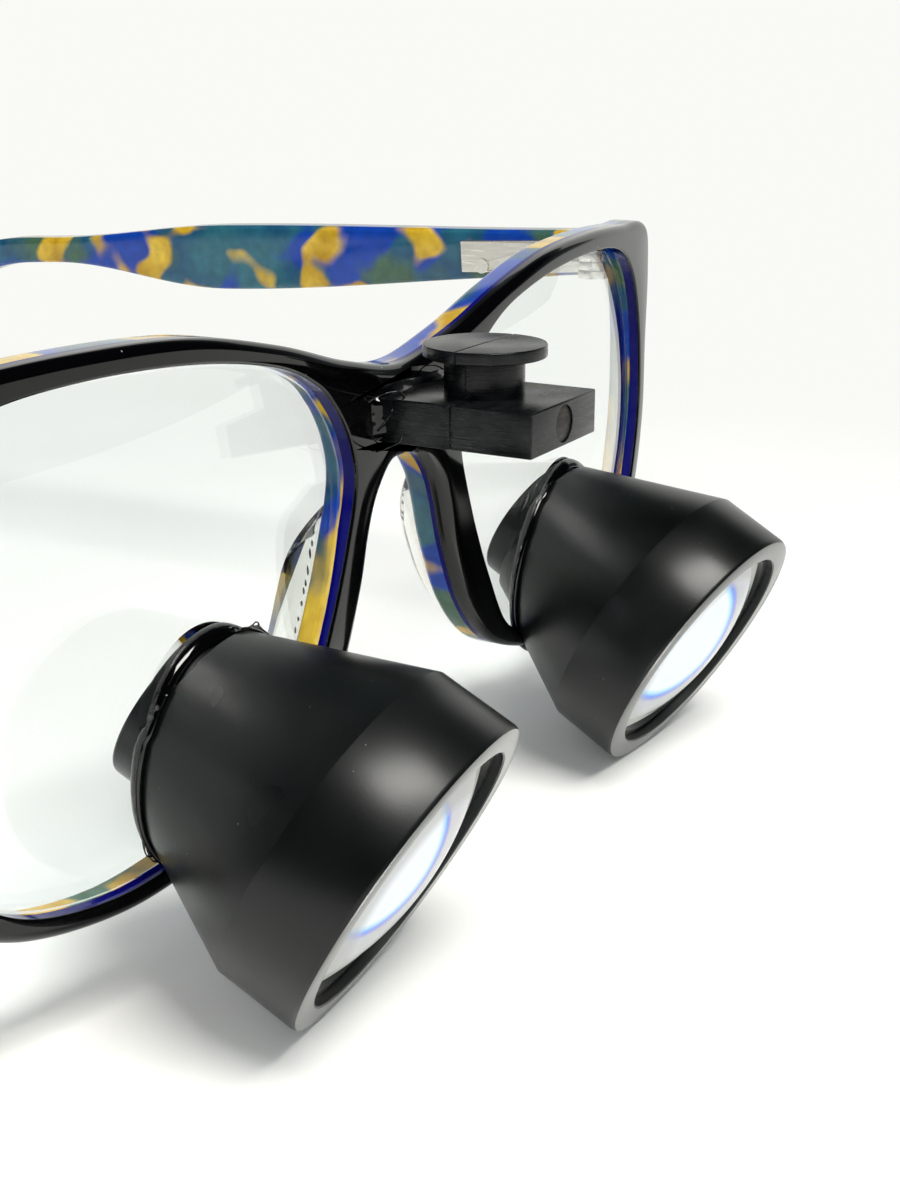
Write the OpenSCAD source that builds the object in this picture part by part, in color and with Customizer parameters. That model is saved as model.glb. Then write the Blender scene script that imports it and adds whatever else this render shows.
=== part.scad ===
// Magnifying loupes on spectacles: a laminated front, two barrels bonded through
// the carrier lenses, a lamp mount on the bridge and two folding temples.
// Millimetres, +Z up, the front faces -Y, X = 0 is the plane of symmetry.
// The part stands on the lower edges of the two barrels and on the temple tips.

/* [Barrels] */
// Distance between the centres of the two barrel fronts
barrel_spacing = 60; // [56:0.5:64]
// Angle of each barrel below the horizontal
declination = 28.7; // [24:0.1:32]
// Angle by which each barrel turns in towards the nose
convergence = 4.5; // [2:0.1:6]
// Outside diameter of the front cylinder
barrel_d = 28.6; // [27:0.1:30]
// Length of the front cylinder
barrel_cyl_l = 7.5; // [5:0.1:9]
// Length of the cone behind the cylinder
barrel_cone_l = 14.5; // [13:0.1:16]
// Outside diameter of the cone's small end
barrel_rear_d = 16; // [15.4:0.1:17]
// Chamfer on the front edge
barrel_chamfer = 0.35; // [0.1:0.05:0.6]
// Diameter of the opening in the front face
objective_opening_d = 23.8; // [23.6:0.1:24.4]
// Depth of the opening down to the objective's edge
objective_recess = 1.5; // [1.2:0.1:2]
// Diameter of the objective lenses
objective_d = 23; // [22:0.1:23.2]
// Length from the objective's front edge to the shoulder behind it
objective_l = 6.9; // [6.4:0.1:7.4]
// Radius of the objective's front surface
objective_front_r = 28; // [26:1:40]
// Radius of the cemented surface inside the objective
objective_mid_r = 36; // [30:1:50]
// Length of the retaining ring in front of the objective
retainer_l = 0.6; // [0.4:0.1:0.9]
// Width of the retaining ring's flat face
retainer_w = 0.7; // [0.5:0.1:1]
// Outside diameter of the eyepiece cell
cell_d = 14.4; // [13.8:0.1:15]
// Distance from the barrel's front to the end of the eyepiece cell
cell_end = 24.6; // [24:0.1:26]
// Length of the cell inside the cone
cell_grip = 6; // [4:0.1:7]
// Diameter of the eyepiece lens
eyepiece_d = 11.6; // [10.6:0.1:12]
// Length of the eyepiece lens at its edge
eyepiece_l = 2.6; // [2.2:0.1:3]
// Radius of the two hollow surfaces of the eyepiece
eyepiece_r = 26; // [22:1:40]
// Length of the eyepiece's retaining ring
eye_ring_l = 0.7; // [0.5:0.1:0.9]
// Width of the adhesive bead round a barrel
bead_w = 1.3; // [0.8:0.1:1.8]
// Height of the adhesive bead in front of the lens
bead_h = 1; // [0.6:0.1:1.4]

/* [Front] */
// Distance from the barrel fronts back to the front's face at the bridge
front_setback = 17.2; // [16.6:0.1:17.8]
// Width of each lens opening
lens_w = 53.1; // [51:0.1:55]
// Height of each lens opening
lens_h = 39.8; // [38:0.1:41]
// Height of the lens opening's lowest point above the table
lens_low = 12.4; // [11:0.1:14]
// Distance between the two lens openings
lens_gap = 19; // [18:0.1:20]
// Width of the rim along the top
top_rim = 2; // [1.8:0.1:2.8]
// Width of the rim at the sides
side_rim = 3.2; // [2.8:0.1:4]
// Width of the rim along the bottom
bottom_rim = 2.5; // [2.2:0.1:3.2]
// Width of the rim beside the nose
nasal_rim = 4.2; // [3.8:0.1:4.6]
// Height of the bridge's lower edge above the table
bridge_low = 37.6; // [36.8:0.1:38.2]
// Height of the bridge's upper edge above the table
bridge_top = 46.1; // [45.6:0.1:46.6]
// Half width of the straight middle of the front
bend_flat = 12; // [8:0.5:16]
// Radius to which the front is bent outside its middle
bend_r = 300; // [260:5:400]
// Thickness of the black outer layer
black_t = 1.5; // [1.3:0.1:1.8]
// Thickness of the blue middle layer
blue_t = 0.5; // [0.3:0.1:0.7]
// Thickness of the tortoise inner layer
tortoise_t = 2.4; // [2.2:0.1:2.8]
// Radius of the outer edges
edge_r = 0.9; // [0.6:0.1:1.1]
// Radius of the edges round the lens openings
rim_edge_r = 0.4; // [0.2:0.05:0.6]
// Width of the bevel on the edges beside the nose
nose_bevel = 2.3; // [1.6:0.1:2.6]
// Thickness of a carrier lens
lens_t = 2; // [1.8:0.1:2.1]
// Radius of a carrier lens's front surface
lens_front_r = 120; // [110:5:180]
// Depth of the groove that holds the lens
groove_depth = 0.6; // [0.4:0.05:0.8]
// Thickness of the lens's edge ridge
ridge_t = 0.6; // [0.5:0.05:0.8]

/* [Nose pads] */
// Height of a nose pad
pad_h = 16.5; // [14:0.5:18]
// How far a nose pad stands out behind the rim
pad_reach = 5; // [4:0.1:6]
// Width of a nose pad's seat on the rim
pad_seat_w = 2.8; // [2.2:0.1:3.2]
// How far the pad leans outwards from its seat
pad_lean = 3.2; // [2:0.1:4]

/* [Lamp mount] */
// Width of the bar
bar_w = 12.7; // [11.5:0.1:14]
// Height of the bar
bar_h = 3.9; // [3.7:0.1:4.4]
// Height of the bar's top above the table
bar_top = 44.1; // [43.6:0.1:44.6]
// Distance from the barrel fronts to the bar's front face
bar_front = 2; // [0:0.1:4]
// Distance from the bar's front face to the seam
bar_seam = 7.8; // [7:0.1:8.4]
// Diameter of the disc
disc_d = 11; // [10:0.1:12]
// Thickness of the disc
disc_t = 1.1; // [0.8:0.1:1.4]
// Diameter of the neck under the disc
neck_d = 7.1; // [6.4:0.1:7.8]
// Height of the neck
neck_h = 3.3; // [2.6:0.1:4]
// Diameter of the dowel
dowel_d = 3.2; // [2.8:0.05:3.3]
// Length of the dowel
dowel_l = 11.5; // [10.5:0.1:12.5]
// How far the dowel's end lies behind the bar's front face
dowel_recess = 0.15; // [0.05:0.05:0.4]
// Width of the adhesive round the bar's root
glue_w = 1.2; // [0.8:0.1:1.6]

/* [Temples] */
// Thickness of a temple
temple_t = 4; // [3.8:0.1:4.4]
// Height of the temple at the hinge
temple_h_front = 5.4; // [5:0.1:6]
// Height of the temple at its widest
temple_h_wide = 8.5; // [7.5:0.1:9.5]
// Height of the temple at its narrowest
temple_h_slim = 3.5; // [3.3:0.1:4.2]
// Height of the temple near its tip
temple_h_tip = 7; // [6:0.1:8]
// Height of the temple's middle at the hinge above the table
temple_z = 48.4; // [48.2:0.1:48.8]
// Angle by which the temple slopes down
temple_slope = 3.3; // [2.4:0.1:4.2]
// Length of the straight part of the temple
temple_straight = 91; // [87:0.5:95]
// Radius of the bend over the ear
ear_r = 40; // [34:0.5:46]
// Angle of the temple's end below the horizontal
ear_angle = 62; // [58:0.5:66]
// Radius of the temple's long edges
temple_edge_r = 0.7; // [0.4:0.1:1]
// Thickness of the flat core wire
wire_t = 0.9; // [0.6:0.1:1.1]
// Height of the flat core wire
wire_h = 0.9; // [0.7:0.1:1]
// Length of the core wire
wire_l = 120; // [100:1:130]

/* [Hinges] */
// Outside diameter of the knuckles
knuckle_d = 3.2; // [2.8:0.1:3.4]
// Height of the whole stack of knuckles
knuckle_stack = 5; // [4.6:0.1:5.2]
// Diameter of the hinge screw
screw_d = 1.4; // [1.2:0.05:1.5]
// Diameter of the screw's head
screw_head_d = 2.4; // [2:0.1:2.6]
// Height of the screw's head
screw_head_h = 0.6; // [0.4:0.05:0.8]
// Thickness of the hinge plates
plate_t = 0.9; // [0.7:0.05:1]
// Length of the plate on the temple
plate_l = 16; // [14:0.5:18]
// Height of the plate on the temple
plate_h = 3.8; // [3.4:0.1:4]
// Diameter of the rivets in the hinge plates
rivet_d = 1; // [0.8:0.05:1.1]
// Length of the rivets in the temple
rivet_l = 2.2; // [1.8:0.1:2.4]

/* [Fits] */
// Gap round lenses, rings and cells in their seats
seat_gap = 0.05; // [0.02:0.01:0.1]
// Gap between the screw and the knuckles it turns in
turn_gap = 0.04; // [0.02:0.01:0.08]
// Gap between two knuckles
knuckle_gap = 0.1; // [0.05:0.01:0.15]
// Gap between the front and the end of a temple
butt_gap = 0.3; // [0.25:0.05:0.4]
// Gap between a barrel and its hole in the carrier lens
hole_gap = 0.1; // [0.05:0.01:0.2]

/* [Hidden] */
$fn = 96;

// Colours
black = "#101113";
blue = "#1c2f7d";
tortoise = "#2f5560";
satin_black = "#1b1c1e";
clear = "#dfe9ec80";
glass = "#cfe0f080";
glue = "#141416";
steel = "#c9ccd0";
right = -1;
left = 1;

// Barrel, measured along its axis from the front face backwards
barrel_r = barrel_d / 2;
cone_end = barrel_cyl_l + barrel_cone_l;
cell_start = cone_end - cell_grip;
shoulder = objective_recess + objective_l;
retainer_bore_r = objective_opening_d / 2 - retainer_w;
throat_wall = 1;
stop_lip = 0.8;
rear_element_t = 1.2;
overrun = 5;
cell_lip = 0.7;
barrel_z = barrel_r * cos(declination) - barrel_chamfer * sin(declination);
axis_y = cos(declination) * cos(convergence);
front_reach = (barrel_r - barrel_chamfer) * sqrt(1 - axis_y * axis_y);

// Depths behind the front's face
blue_depth = black_t;
tortoise_depth = black_t + blue_t;
front_t = tortoise_depth + tortoise_t;
ridge_lip = 0.2;
ridge_depth = tortoise_depth + ridge_lip;
lens_depth = ridge_depth + ridge_t + ridge_lip - lens_t;
rear_edge_r = 0.5;
bevel_t = 1.3;

// Carrier lens, whose dome stands in front of a slab bent as the front is
lens_x = (lens_gap + lens_w) / 2;
lens_z = lens_low + lens_h / 2;
lens_bulge = lens_w * lens_w / 8 * (1 / lens_front_r - 1 / bend_r);
lens_turn = asin((lens_x - bend_flat) / bend_r);
ridge_root = 0.8;

// Lens opening as shares of its width and height, from above the nose round by the temple
opening_shape = [
    [0.055, 0.82], [0.105, 0.88], [0.21, 0.94], [0.395, 0.985], [0.61, 1], [0.79, 0.98],
    [0.895, 0.91], [0.957, 0.79], [0.99, 0.64], [0.994, 0.47], [0.951, 0.29], [0.88, 0.15],
    [0.77, 0.045], [0.61, 0], [0.45, 0.01], [0.30, 0.04], [0.19, 0.11], [0.115, 0.26],
    [0.058, 0.41], [0.017, 0.55], [0.002, 0.62], [0, 0.67], [0.008, 0.715], [0.025, 0.765]
];
// Step outwards from each point of the opening to the rim's edge; the bridge's own points follow
rim_step = [
    [0, 0], [-5.5, 0.6 * top_rim], [-1.2, 0.8 * top_rim], [0, top_rim], [1, top_rim], [3.5, 1.2 * top_rim],
    [2.1 * side_rim, 2.2 * top_rim], [1.65 * side_rim, 1.8 * top_rim], [side_rim, 1], [0.9 * side_rim, -0.6],
    [0.85 * side_rim, -0.55 * bottom_rim], [0.65 * side_rim, -0.85 * bottom_rim],
    [0.35 * side_rim, -0.92 * bottom_rim], [0, -bottom_rim], [-0.5, -bottom_rim], [-1.2, -0.85 * bottom_rim],
    [-0.7 * nasal_rim, -0.65 * bottom_rim], [-nasal_rim, -0.45 * nasal_rim],
    [-1.07 * nasal_rim, -0.3 * nasal_rim],
    [-0.95 * nasal_rim, -0.38 * nasal_rim], [-1.1 * nasal_rim, -0.33 * nasal_rim]
];
arch_half_w = 2.6;
arch_drop = 0.35;
corners = len(opening_shape);
arch_corner = corners - 3;
low_corner = corners - 2;
// Share of the nose bevel at each point
bevel_share = [for (j = [0 : corners - 1]) j == 0 || j == 1 ? 0.15 : j < 16 ? 0 : j == 16 ? 0.5 : 1];
steps = 3;
stations = corners * steps;

function wrap(i, n) = (i % n + n) % n;
function unit(v) = v / norm(v);
function flip(p) = [-p[0], p[1]];
function blend(a, b, t) = a + (b - a) * t;
function curve(a, b, c, d, t) =
    0.5 * (2 * b + (c - a) * t + (2 * a - 5 * b + 4 * c - d) * t * t + (3 * b - a - 3 * c + d) * t * t * t);
function sag(x) =
    let (u = max(0, abs(x) - bend_flat))
    bend_r - sqrt(bend_r * bend_r - u * u);
function face_y(x, depth) = front_setback + sag(x) + depth;

function opening_corner(i) =
    let (p = opening_shape[wrap(i, corners)])
    [lens_gap / 2 + p[0] * lens_w, lens_low + p[1] * lens_h];
function rim_corner(i) =
    let (j = wrap(i, corners))
    j == 0 ? [0, bridge_top]
    : j == low_corner ? [0, bridge_low]
    : j == corners - 1 ? [0, (bridge_low + bridge_top) / 2]
    : j == arch_corner ? [arch_half_w, bridge_low - arch_drop]
    : opening_corner(j) + rim_step[j];
function on_axis(p) = p[0] == 0;

opening_line = [
    for (k = [0 : stations - 1])
        let (j = floor(k / steps), t = (k % steps) / steps)
        curve(opening_corner(j - 1), opening_corner(j), opening_corner(j + 1), opening_corner(j + 2), t)
];
rim_line = [
    for (k = [0 : stations - 1])
        let (
            j = floor(k / steps),
            t = (k % steps) / steps,
            b = rim_corner(j),
            c = rim_corner(j + 1),
            a = on_axis(b) ? flip(c) : rim_corner(j - 1),
            d = on_axis(c) ? flip(b) : rim_corner(j + 2)
        )
        on_axis(b) && on_axis(c) ? blend(b, c, t) : curve(a, b, c, d, t)
];
function outward(line, k) =
    let (n = len(line), d = line[wrap(k + 1, n)] - line[wrap(k - 1, n)])
    unit([-d[1], d[0]]);
low_station = low_corner * steps;
opening_out = [for (k = [0 : stations - 1]) outward(opening_line, k)];
rim_out = [
    for (k = [0 : stations - 1])
        k == 0 ? [0, 1] : k == low_station ? [0, -1] : on_axis(rim_line[k]) ? [0, 0] : outward(rim_line, k)
];
edge_w = [
    for (k = [0 : stations - 1])
        let (
            j = floor(k / steps),
            share = blend(bevel_share[j], bevel_share[wrap(j + 1, corners)], (k % steps) / steps)
        )
        on_axis(rim_line[k]) && k != 0 && k != low_station ? 0 : blend(edge_r, nose_bevel, share)
];
edge_t = [for (w = edge_w) w > edge_r ? min(bevel_t, edge_r + (w - edge_r) * 0.4) : edge_r];

// A section across the rim is a closed list of [on the rim's outer edge, inset, depth] for a station
round_angles = [0, 30, 60, 90];
function black_section(k) = [
    [false, 0, blue_depth],
    [false, 0, rim_edge_r],
    [false, 0.3 * rim_edge_r, 0.3 * rim_edge_r],
    [false, rim_edge_r, 0],
    for (a = round_angles) [true, edge_w[k] * (1 - sin(a)), edge_t[k] * (1 - cos(a))],
    [true, 0, blue_depth]
];
function blue_section(k) =
    [[false, 0, tortoise_depth], [false, 0, blue_depth], [true, 0, blue_depth], [true, 0, tortoise_depth]];
function tortoise_section(k) = [
    [false, rear_edge_r, front_t],
    [false, 0, front_t - rear_edge_r],
    [false, 0, ridge_depth + ridge_t + seat_gap],
    [false, groove_depth, ridge_depth + ridge_t + seat_gap],
    [false, groove_depth, ridge_depth - seat_gap],
    [false, 0, ridge_depth - seat_gap],
    [false, 0, tortoise_depth],
    [true, 0, tortoise_depth],
    for (a = [90, 45, 0])
        [true, min(edge_w[k], edge_r) * (1 - sin(a)), front_t - edge_r * (1 - cos(a))]
];
function section_point(k, s) =
    let (p = s[0] ? rim_line[k] - rim_out[k] * s[1] : opening_line[k] + opening_out[k] * s[1])
    [p[0], face_y(p[0], s[2]), p[1]];

// Both halves of a layer in one closed surface; faces in the plane of symmetry are left out
module ring_layer(sections) {
    n = len(sections[0]);
    half = [for (k = [0 : stations - 1]) for (s = sections[k]) section_point(k, s)];
    other = [for (p = half) [on_axis(p) ? 0 : -p[0], p[1], p[2]]];
    quads = [
        for (k = [0 : stations - 1])
            for (c = [0 : n - 1])
                let (
                    k2 = wrap(k + 1, stations),
                    c2 = wrap(c + 1, n),
                    q = [k * n + c, k2 * n + c, k2 * n + c2, k * n + c2]
                )
                if (len([for (i = q) if (on_axis(half[i])) i]) < len(q))
                    q
    ];
    m = stations * n;
    polyhedron(
        concat(half, other),
        [
            for (q = quads)
                each [
                    [q[2], q[1], q[0]], [q[3], q[2], q[0]],
                    [m + q[0], m + q[1], m + q[2]], [m + q[0], m + q[2], m + q[3]]
                ]
        ]
    );
}

// Temple, measured along its middle line from the hinge end
hinge_corner = 7;
temple_side_gap = 0.2;
temple_out_x = rim_corner(hinge_corner)[0] - temple_side_gap;
temple_x = temple_out_x - temple_t;
temple_y = face_y(temple_x, front_t) + butt_gap;
temple_wide_at = 56;
temple_slim_at = 86;
temple_tip_at = temple_straight + 50;
belly = 0.2;
belly_h = 7;
tip_angles = [0, 20, 40, 60, 78];
tip_r = temple_h_tip / 2;
straight_end = [temple_y, temple_z] + temple_straight * [cos(temple_slope), -sin(temple_slope)];
ear_centre = straight_end - ear_r * [sin(temple_slope), cos(temple_slope)];
ear_end = ear_centre + ear_r * [sin(ear_angle), cos(ear_angle)];
tip_drop = tip_r * max([for (a = tip_angles) cos(a - ear_angle)]);
tail_l = (ear_end[1] - tip_drop) / sin(ear_angle);
tip_centre = ear_end + tail_l * [cos(ear_angle), -sin(ear_angle)];
rear_reach = tip_centre[0] + tip_r * max([for (a = tip_angles) sin(a + ear_angle)]);
middle_y = (front_reach - rear_reach) / 2;

function ease(t) = (1 - cos(180 * min(1, max(0, t)))) / 2;
function temple_h(s) =
    s < temple_wide_at ? blend(temple_h_front, temple_h_wide, ease(s / temple_wide_at))
    : s < temple_slim_at
        ? blend(temple_h_wide, temple_h_slim, ease((s - temple_wide_at) / (temple_slim_at - temple_wide_at)))
    : blend(temple_h_slim, temple_h_tip, ease((s - temple_slim_at) / (temple_tip_at - temple_slim_at)));
// Each station is [middle point, angle below the horizontal, half height]
straight_steps = 14;
ear_steps = 7;
temple_stations = [
    for (i = [0 : straight_steps])
        let (s = temple_straight * i / straight_steps, h = temple_h(s))
        [
            blend([temple_y, temple_z], straight_end, i / straight_steps)
                - belly * (h - belly_h) * [sin(temple_slope), cos(temple_slope)],
            temple_slope, h / 2
        ],
    for (i = [1 : ear_steps])
        let (
            a = blend(temple_slope, ear_angle, i / ear_steps),
            h = temple_h(temple_straight + ear_r * (a - temple_slope) * PI / 180)
        )
        [ear_centre + (ear_r - belly * (h - belly_h)) * [sin(a), cos(a)], a, h / 2],
    for (a = tip_angles)
        [
            tip_centre + tip_r * sin(a) * [cos(ear_angle), -sin(ear_angle)],
            ear_angle, tip_r * cos(a)
        ]
];
// Layer of the temple with its section as a closed list of [x, share of the half height, inset]
module temple_layer(section) {
    n = len(section);
    last = len(temple_stations) - 1;
    points = [
        for (i = [0 : last])
            for (s = section)
                let (
                    st = temple_stations[i],
                    up = [sin(st[1]), cos(st[1])],
                    rise = s[1] * max(0.2, st[2] - s[2]),
                    p = st[0] + (i == 0 ? [0, rise] : up * rise)
                )
                [s[0], i == 0 ? face_y(s[0], front_t) + butt_gap : p[0], p[1]]
    ];
    polyhedron(
        points,
        [
            [for (c = [n - 1 : -1 : 0]) c],
            [for (c = [0 : n - 1]) last * n + c],
            for (i = [0 : last - 1])
                for (c = [0 : n - 1])
                    let (c2 = wrap(c + 1, n))
                    each [
                        [i * n + c2, (i + 1) * n + c2, (i + 1) * n + c],
                        [i * n + c, i * n + c2, (i + 1) * n + c]
                    ]
        ]
    );
}
temple_blue_x = temple_out_x - black_t;
temple_tortoise_x = temple_blue_x - blue_t;
wire_x = (temple_x + temple_tortoise_x) / 2;
wire_lead = 2;

// Hinge
knuckle_r = knuckle_d / 2;
knuckle_step = (knuckle_stack + knuckle_gap) / 5;
knuckle_h = knuckle_step - knuckle_gap;
hinge_x = temple_x - plate_t - 1;
hinge_y = face_y(hinge_x, front_t) + knuckle_r + butt_gap;
hinge_low = temple_z - knuckle_stack / 2;
arm_overlap = 0.4;
leaf_from = hinge_x + 0.7;
leaf_to = temple_out_x - 1;
leaf_rear = face_y(leaf_from, front_t);
leaf_w = leaf_to - leaf_from;
tongue_from = hinge_x - 0.8;
tongue_to = temple_x - butt_gap;
rivet_head_d = 1.8;
rivet_head_h = 0.25;
leaf_rivet_l = 1.8;
leaf_rivet_x = leaf_to - 1.2;
leaf_rivet_rise = 1.4;
plate_from = hinge_y + 1.9;
arm_l = 1.2;
slot_w = 0.4;
rivet_rise = 1.15;
rivet_inset = 3;

// Lamp mount
bar_low = bar_top - bar_h;
seam_y = bar_front + bar_seam;
root_gap = 0.1;
bar_root = front_setback - root_gap;
neck_top = bar_top + neck_h;
dowel_z = bar_top - bar_h / 2;
reach = 100;

// Nose pad
// Each level is [share of the reach, share of the height, share of the width]
pad_levels = [
    [0, 1, 1], [0.12, 1.06, 1.25], [0.4, 1.05, 1.3], [0.7, 0.98, 1.1], [0.9, 0.86, 0.8], [1, 0.7, 0.35]
];
pad_sides = 20;
arm_middle = [
    for (k = [20 * steps : -1 : 16 * steps])
        let (m = (opening_line[k] + rim_line[k]) / 2)
        [m[1], m[0]]
];
arm_top = rim_corner(20)[1] - 0.5;
pad_z = arm_top - pad_h / 2;

module placed(side) {
    translate([0, middle_y, 0])
        if (side == right) mirror([1, 0, 0]) children();
        else children();
}

// Space behind the front's face at a given depth, as a plan of its left half
module behind(depth) {
    translate([0, front_setback + depth]) square([bend_flat, reach]);
    intersection() {
        translate([bend_flat, front_setback + depth + bend_r]) circle(bend_r, $fn = 1440);
        translate([bend_flat, front_setback + depth]) square([reach, reach]);
    }
}
module bent_slab(depth, t) {
    linear_extrude(reach)
        difference() {
            behind(depth);
            behind(depth + t);
        }
}
// Slab between two spheres, from a distance in front of a carrier lens's front surface
module domed_slab(ahead, t) {
    translate([lens_x, face_y(lens_x, lens_depth - lens_bulge), lens_z])
        rotate([0, 0, lens_turn])
            translate([0, lens_front_r, 0])
                intersection() {
                    difference() {
                        sphere(lens_front_r + ahead, $fn = 180);
                        sphere(lens_front_r + ahead - t, $fn = 180);
                    }
                    translate([-lens_w, -lens_front_r - overrun, -lens_h])
                        cube([2 * lens_w, lens_front_r, 2 * lens_h]);
                }
}
module opening_prism(inset) {
    translate([0, reach, 0])
        rotate([90, 0, 0])
            linear_extrude(reach)
                polygon([for (k = [0 : stations - 1]) opening_line[k] + opening_out[k] * inset]);
}

module on_barrel() {
    translate([barrel_spacing / 2, 0, barrel_z])
        rotate([0, 0, -convergence])
            rotate([declination - 90, 0, 0])
                children();
}
// Outside of housing and cell together, grown by a gap or a wall
module barrel_outline(grow) {
    rotate_extrude()
        polygon([
            [0, -overrun], [barrel_r + grow, -overrun], [barrel_r + grow, barrel_cyl_l],
            [barrel_rear_d / 2 + grow, cone_end], [cell_d / 2 + grow, cone_end],
            [cell_d / 2 + grow, cell_end + overrun], [0, cell_end + overrun]
        ]);
}
module housing() {
    bore_r = objective_d / 2 + seat_gap;
    cell_r = cell_d / 2 + seat_gap;
    rotate_extrude()
        polygon([
            [objective_opening_d / 2, 0], [barrel_r - barrel_chamfer, 0], [barrel_r, barrel_chamfer],
            [barrel_r, barrel_cyl_l], [barrel_rear_d / 2, cone_end], [cell_r, cone_end],
            [cell_r, cell_start], [cell_r - throat_wall, cell_start],
            [bore_r - stop_lip, shoulder + stop_lip], [bore_r - stop_lip, shoulder],
            [bore_r, shoulder], [bore_r, objective_recess], [objective_opening_d / 2, objective_recess]
        ]);
}
module retainer() {
    translate([0, 0, objective_recess - retainer_l])
        difference() {
            cylinder(r = objective_opening_d / 2 - seat_gap, h = retainer_l);
            translate([0, 0, -retainer_l])
                cylinder(r = retainer_bore_r, h = 3 * retainer_l);
        }
}
function bulge(r, half) = r - sqrt(r * r - half * half);
module front_element() {
    lens_r = objective_d / 2;
    crown_top = objective_recess + seat_gap - bulge(objective_front_r, retainer_bore_r);
    intersection() {
        translate([0, 0, -overrun]) cylinder(r = lens_r, h = shoulder + 2 * overrun);
        translate([0, 0, crown_top + objective_front_r]) sphere(objective_front_r, $fn = 180);
        translate([0, 0, shoulder - rear_element_t - objective_mid_r]) sphere(objective_mid_r, $fn = 180);
    }
}
module rear_element() {
    lens_r = objective_d / 2;
    difference() {
        translate([0, 0, shoulder - rear_element_t - bulge(objective_mid_r, lens_r)])
            cylinder(r = lens_r, h = rear_element_t + bulge(objective_mid_r, lens_r));
        translate([0, 0, shoulder - rear_element_t - objective_mid_r]) sphere(objective_mid_r, $fn = 180);
    }
}
module cell() {
    outer = cell_d / 2;
    bore_r = eyepiece_d / 2 + seat_gap;
    seat = cell_end - eye_ring_l - eyepiece_l;
    rotate_extrude()
        polygon([
            [outer - throat_wall, cell_start], [outer, cell_start], [outer, cell_end], [bore_r, cell_end],
            [bore_r, seat], [bore_r - cell_lip, seat], [bore_r - cell_lip, seat - cell_lip]
        ]);
}
module eyepiece() {
    seat = cell_end - eye_ring_l - eyepiece_l;
    dish = bulge(eyepiece_r, eyepiece_d / 2);
    difference() {
        translate([0, 0, seat]) cylinder(r = eyepiece_d / 2, h = eyepiece_l);
        translate([0, 0, seat + dish - eyepiece_r]) sphere(eyepiece_r, $fn = 180);
        translate([0, 0, seat + eyepiece_l - dish + eyepiece_r]) sphere(eyepiece_r, $fn = 180);
    }
}
module eye_ring() {
    translate([0, 0, cell_end - eye_ring_l])
        difference() {
            cylinder(r = eyepiece_d / 2, h = eye_ring_l);
            translate([0, 0, -eye_ring_l]) cylinder(r = eyepiece_d / 2 - cell_lip, h = 3 * eye_ring_l);
        }
}
module bead() {
    difference() {
        intersection() {
            domed_slab(bead_h, bead_h);
            opening_prism(-seat_gap);
            on_barrel() barrel_outline(bead_w);
        }
        on_barrel() barrel_outline(0);
    }
}
module carrier_lens() {
    difference() {
        union() {
            intersection() {
                domed_slab(0, lens_t);
                opening_prism(-seat_gap);
            }
            intersection() {
                bent_slab(ridge_depth, ridge_t);
                difference() {
                    opening_prism(groove_depth - seat_gap);
                    opening_prism(-ridge_root);
                }
            }
        }
        on_barrel() barrel_outline(hole_gap);
    }
}

// Rows of points round the pad, one row per level from its seat to its rear edge
module nose_pad() {
    rings = [
        for (v = pad_levels)
            [
                for (i = [0 : pad_sides - 1])
                    let (
                        a = 360 * i / pad_sides,
                        z = pad_z + pad_h / 2 * v[1] * cos(a),
                        x = lookup(pad_z + pad_h / 2 * min(1, v[1]) * cos(a), arm_middle)
                            + pad_lean * v[0] + pad_seat_w / 2 * v[2] * sin(a)
                    )
                    [x, face_y(x, front_t) + pad_reach * v[0], z]
            ]
    ];
    last = len(pad_levels) - 1;
    n = pad_sides;
    polyhedron(
        concat([for (r = rings) each r], [mean(rings[0]), mean(rings[last])]),
        [
            for (i = [0 : n - 1])
                let (i2 = wrap(i + 1, n))
                each [
                    [i, i2, (last + 1) * n],
                    [last * n + i2, last * n + i, (last + 1) * n + 1],
                    for (v = [0 : last - 1])
                        each [
                            [(v + 1) * n + i2, v * n + i2, v * n + i],
                            [(v + 1) * n + i, (v + 1) * n + i2, v * n + i]
                        ]
                ]
        ]
    );
}
function mean(list) = [for (c = [0 : 2]) sum_of([for (p = list) p[c]]) / len(list)];
function sum_of(v, i = 0) = i == len(v) ? 0 : v[i] + sum_of(v, i + 1);

// Hinge plate on the back of the front, in a pocket, with three knuckles
module leaf_pocket(gap) {
    translate([leaf_from - gap, leaf_rear - plate_t - gap, hinge_low - gap])
        cube([leaf_w + 2 * gap, plate_t + overrun, knuckle_stack + 2 * gap]);
}
module leaf_rivet_places() {
    for (z = [-leaf_rivet_rise, leaf_rivet_rise])
        translate([leaf_rivet_x, leaf_rear, temple_z + z])
            rotate([90, 0, 0])
                children();
}
module knuckles(places) {
    for (i = places)
        translate([0, 0, hinge_low + i * knuckle_step]) {
            translate([hinge_x, hinge_y, 0]) cylinder(r = knuckle_r, h = knuckle_h);
            children();
        }
}
module screw_bore(gap) {
    translate([hinge_x, hinge_y, hinge_low - 1]) cylinder(r = screw_d / 2 + gap, h = knuckle_stack + 2);
}
module front_leaf() {
    difference() {
        union() {
            translate([leaf_from, leaf_rear - plate_t, hinge_low])
                cube([leaf_w, plate_t, knuckle_stack]);
            knuckles([0, 2, 4]) {
                translate([tongue_from, leaf_rear + seat_gap, 0])
                    cube([tongue_to - tongue_from, hinge_y - leaf_rear - seat_gap, knuckle_h]);
                translate([leaf_from, leaf_rear - plate_t / 2, 0])
                    cube([tongue_to - leaf_from, hinge_y - leaf_rear + plate_t / 2, knuckle_h]);
            }
        }
        screw_bore(turn_gap);
        leaf_rivet_places() translate([0, 0, -1]) cylinder(d = rivet_d + 2 * seat_gap, h = plate_t + 2);
    }
}
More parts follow.
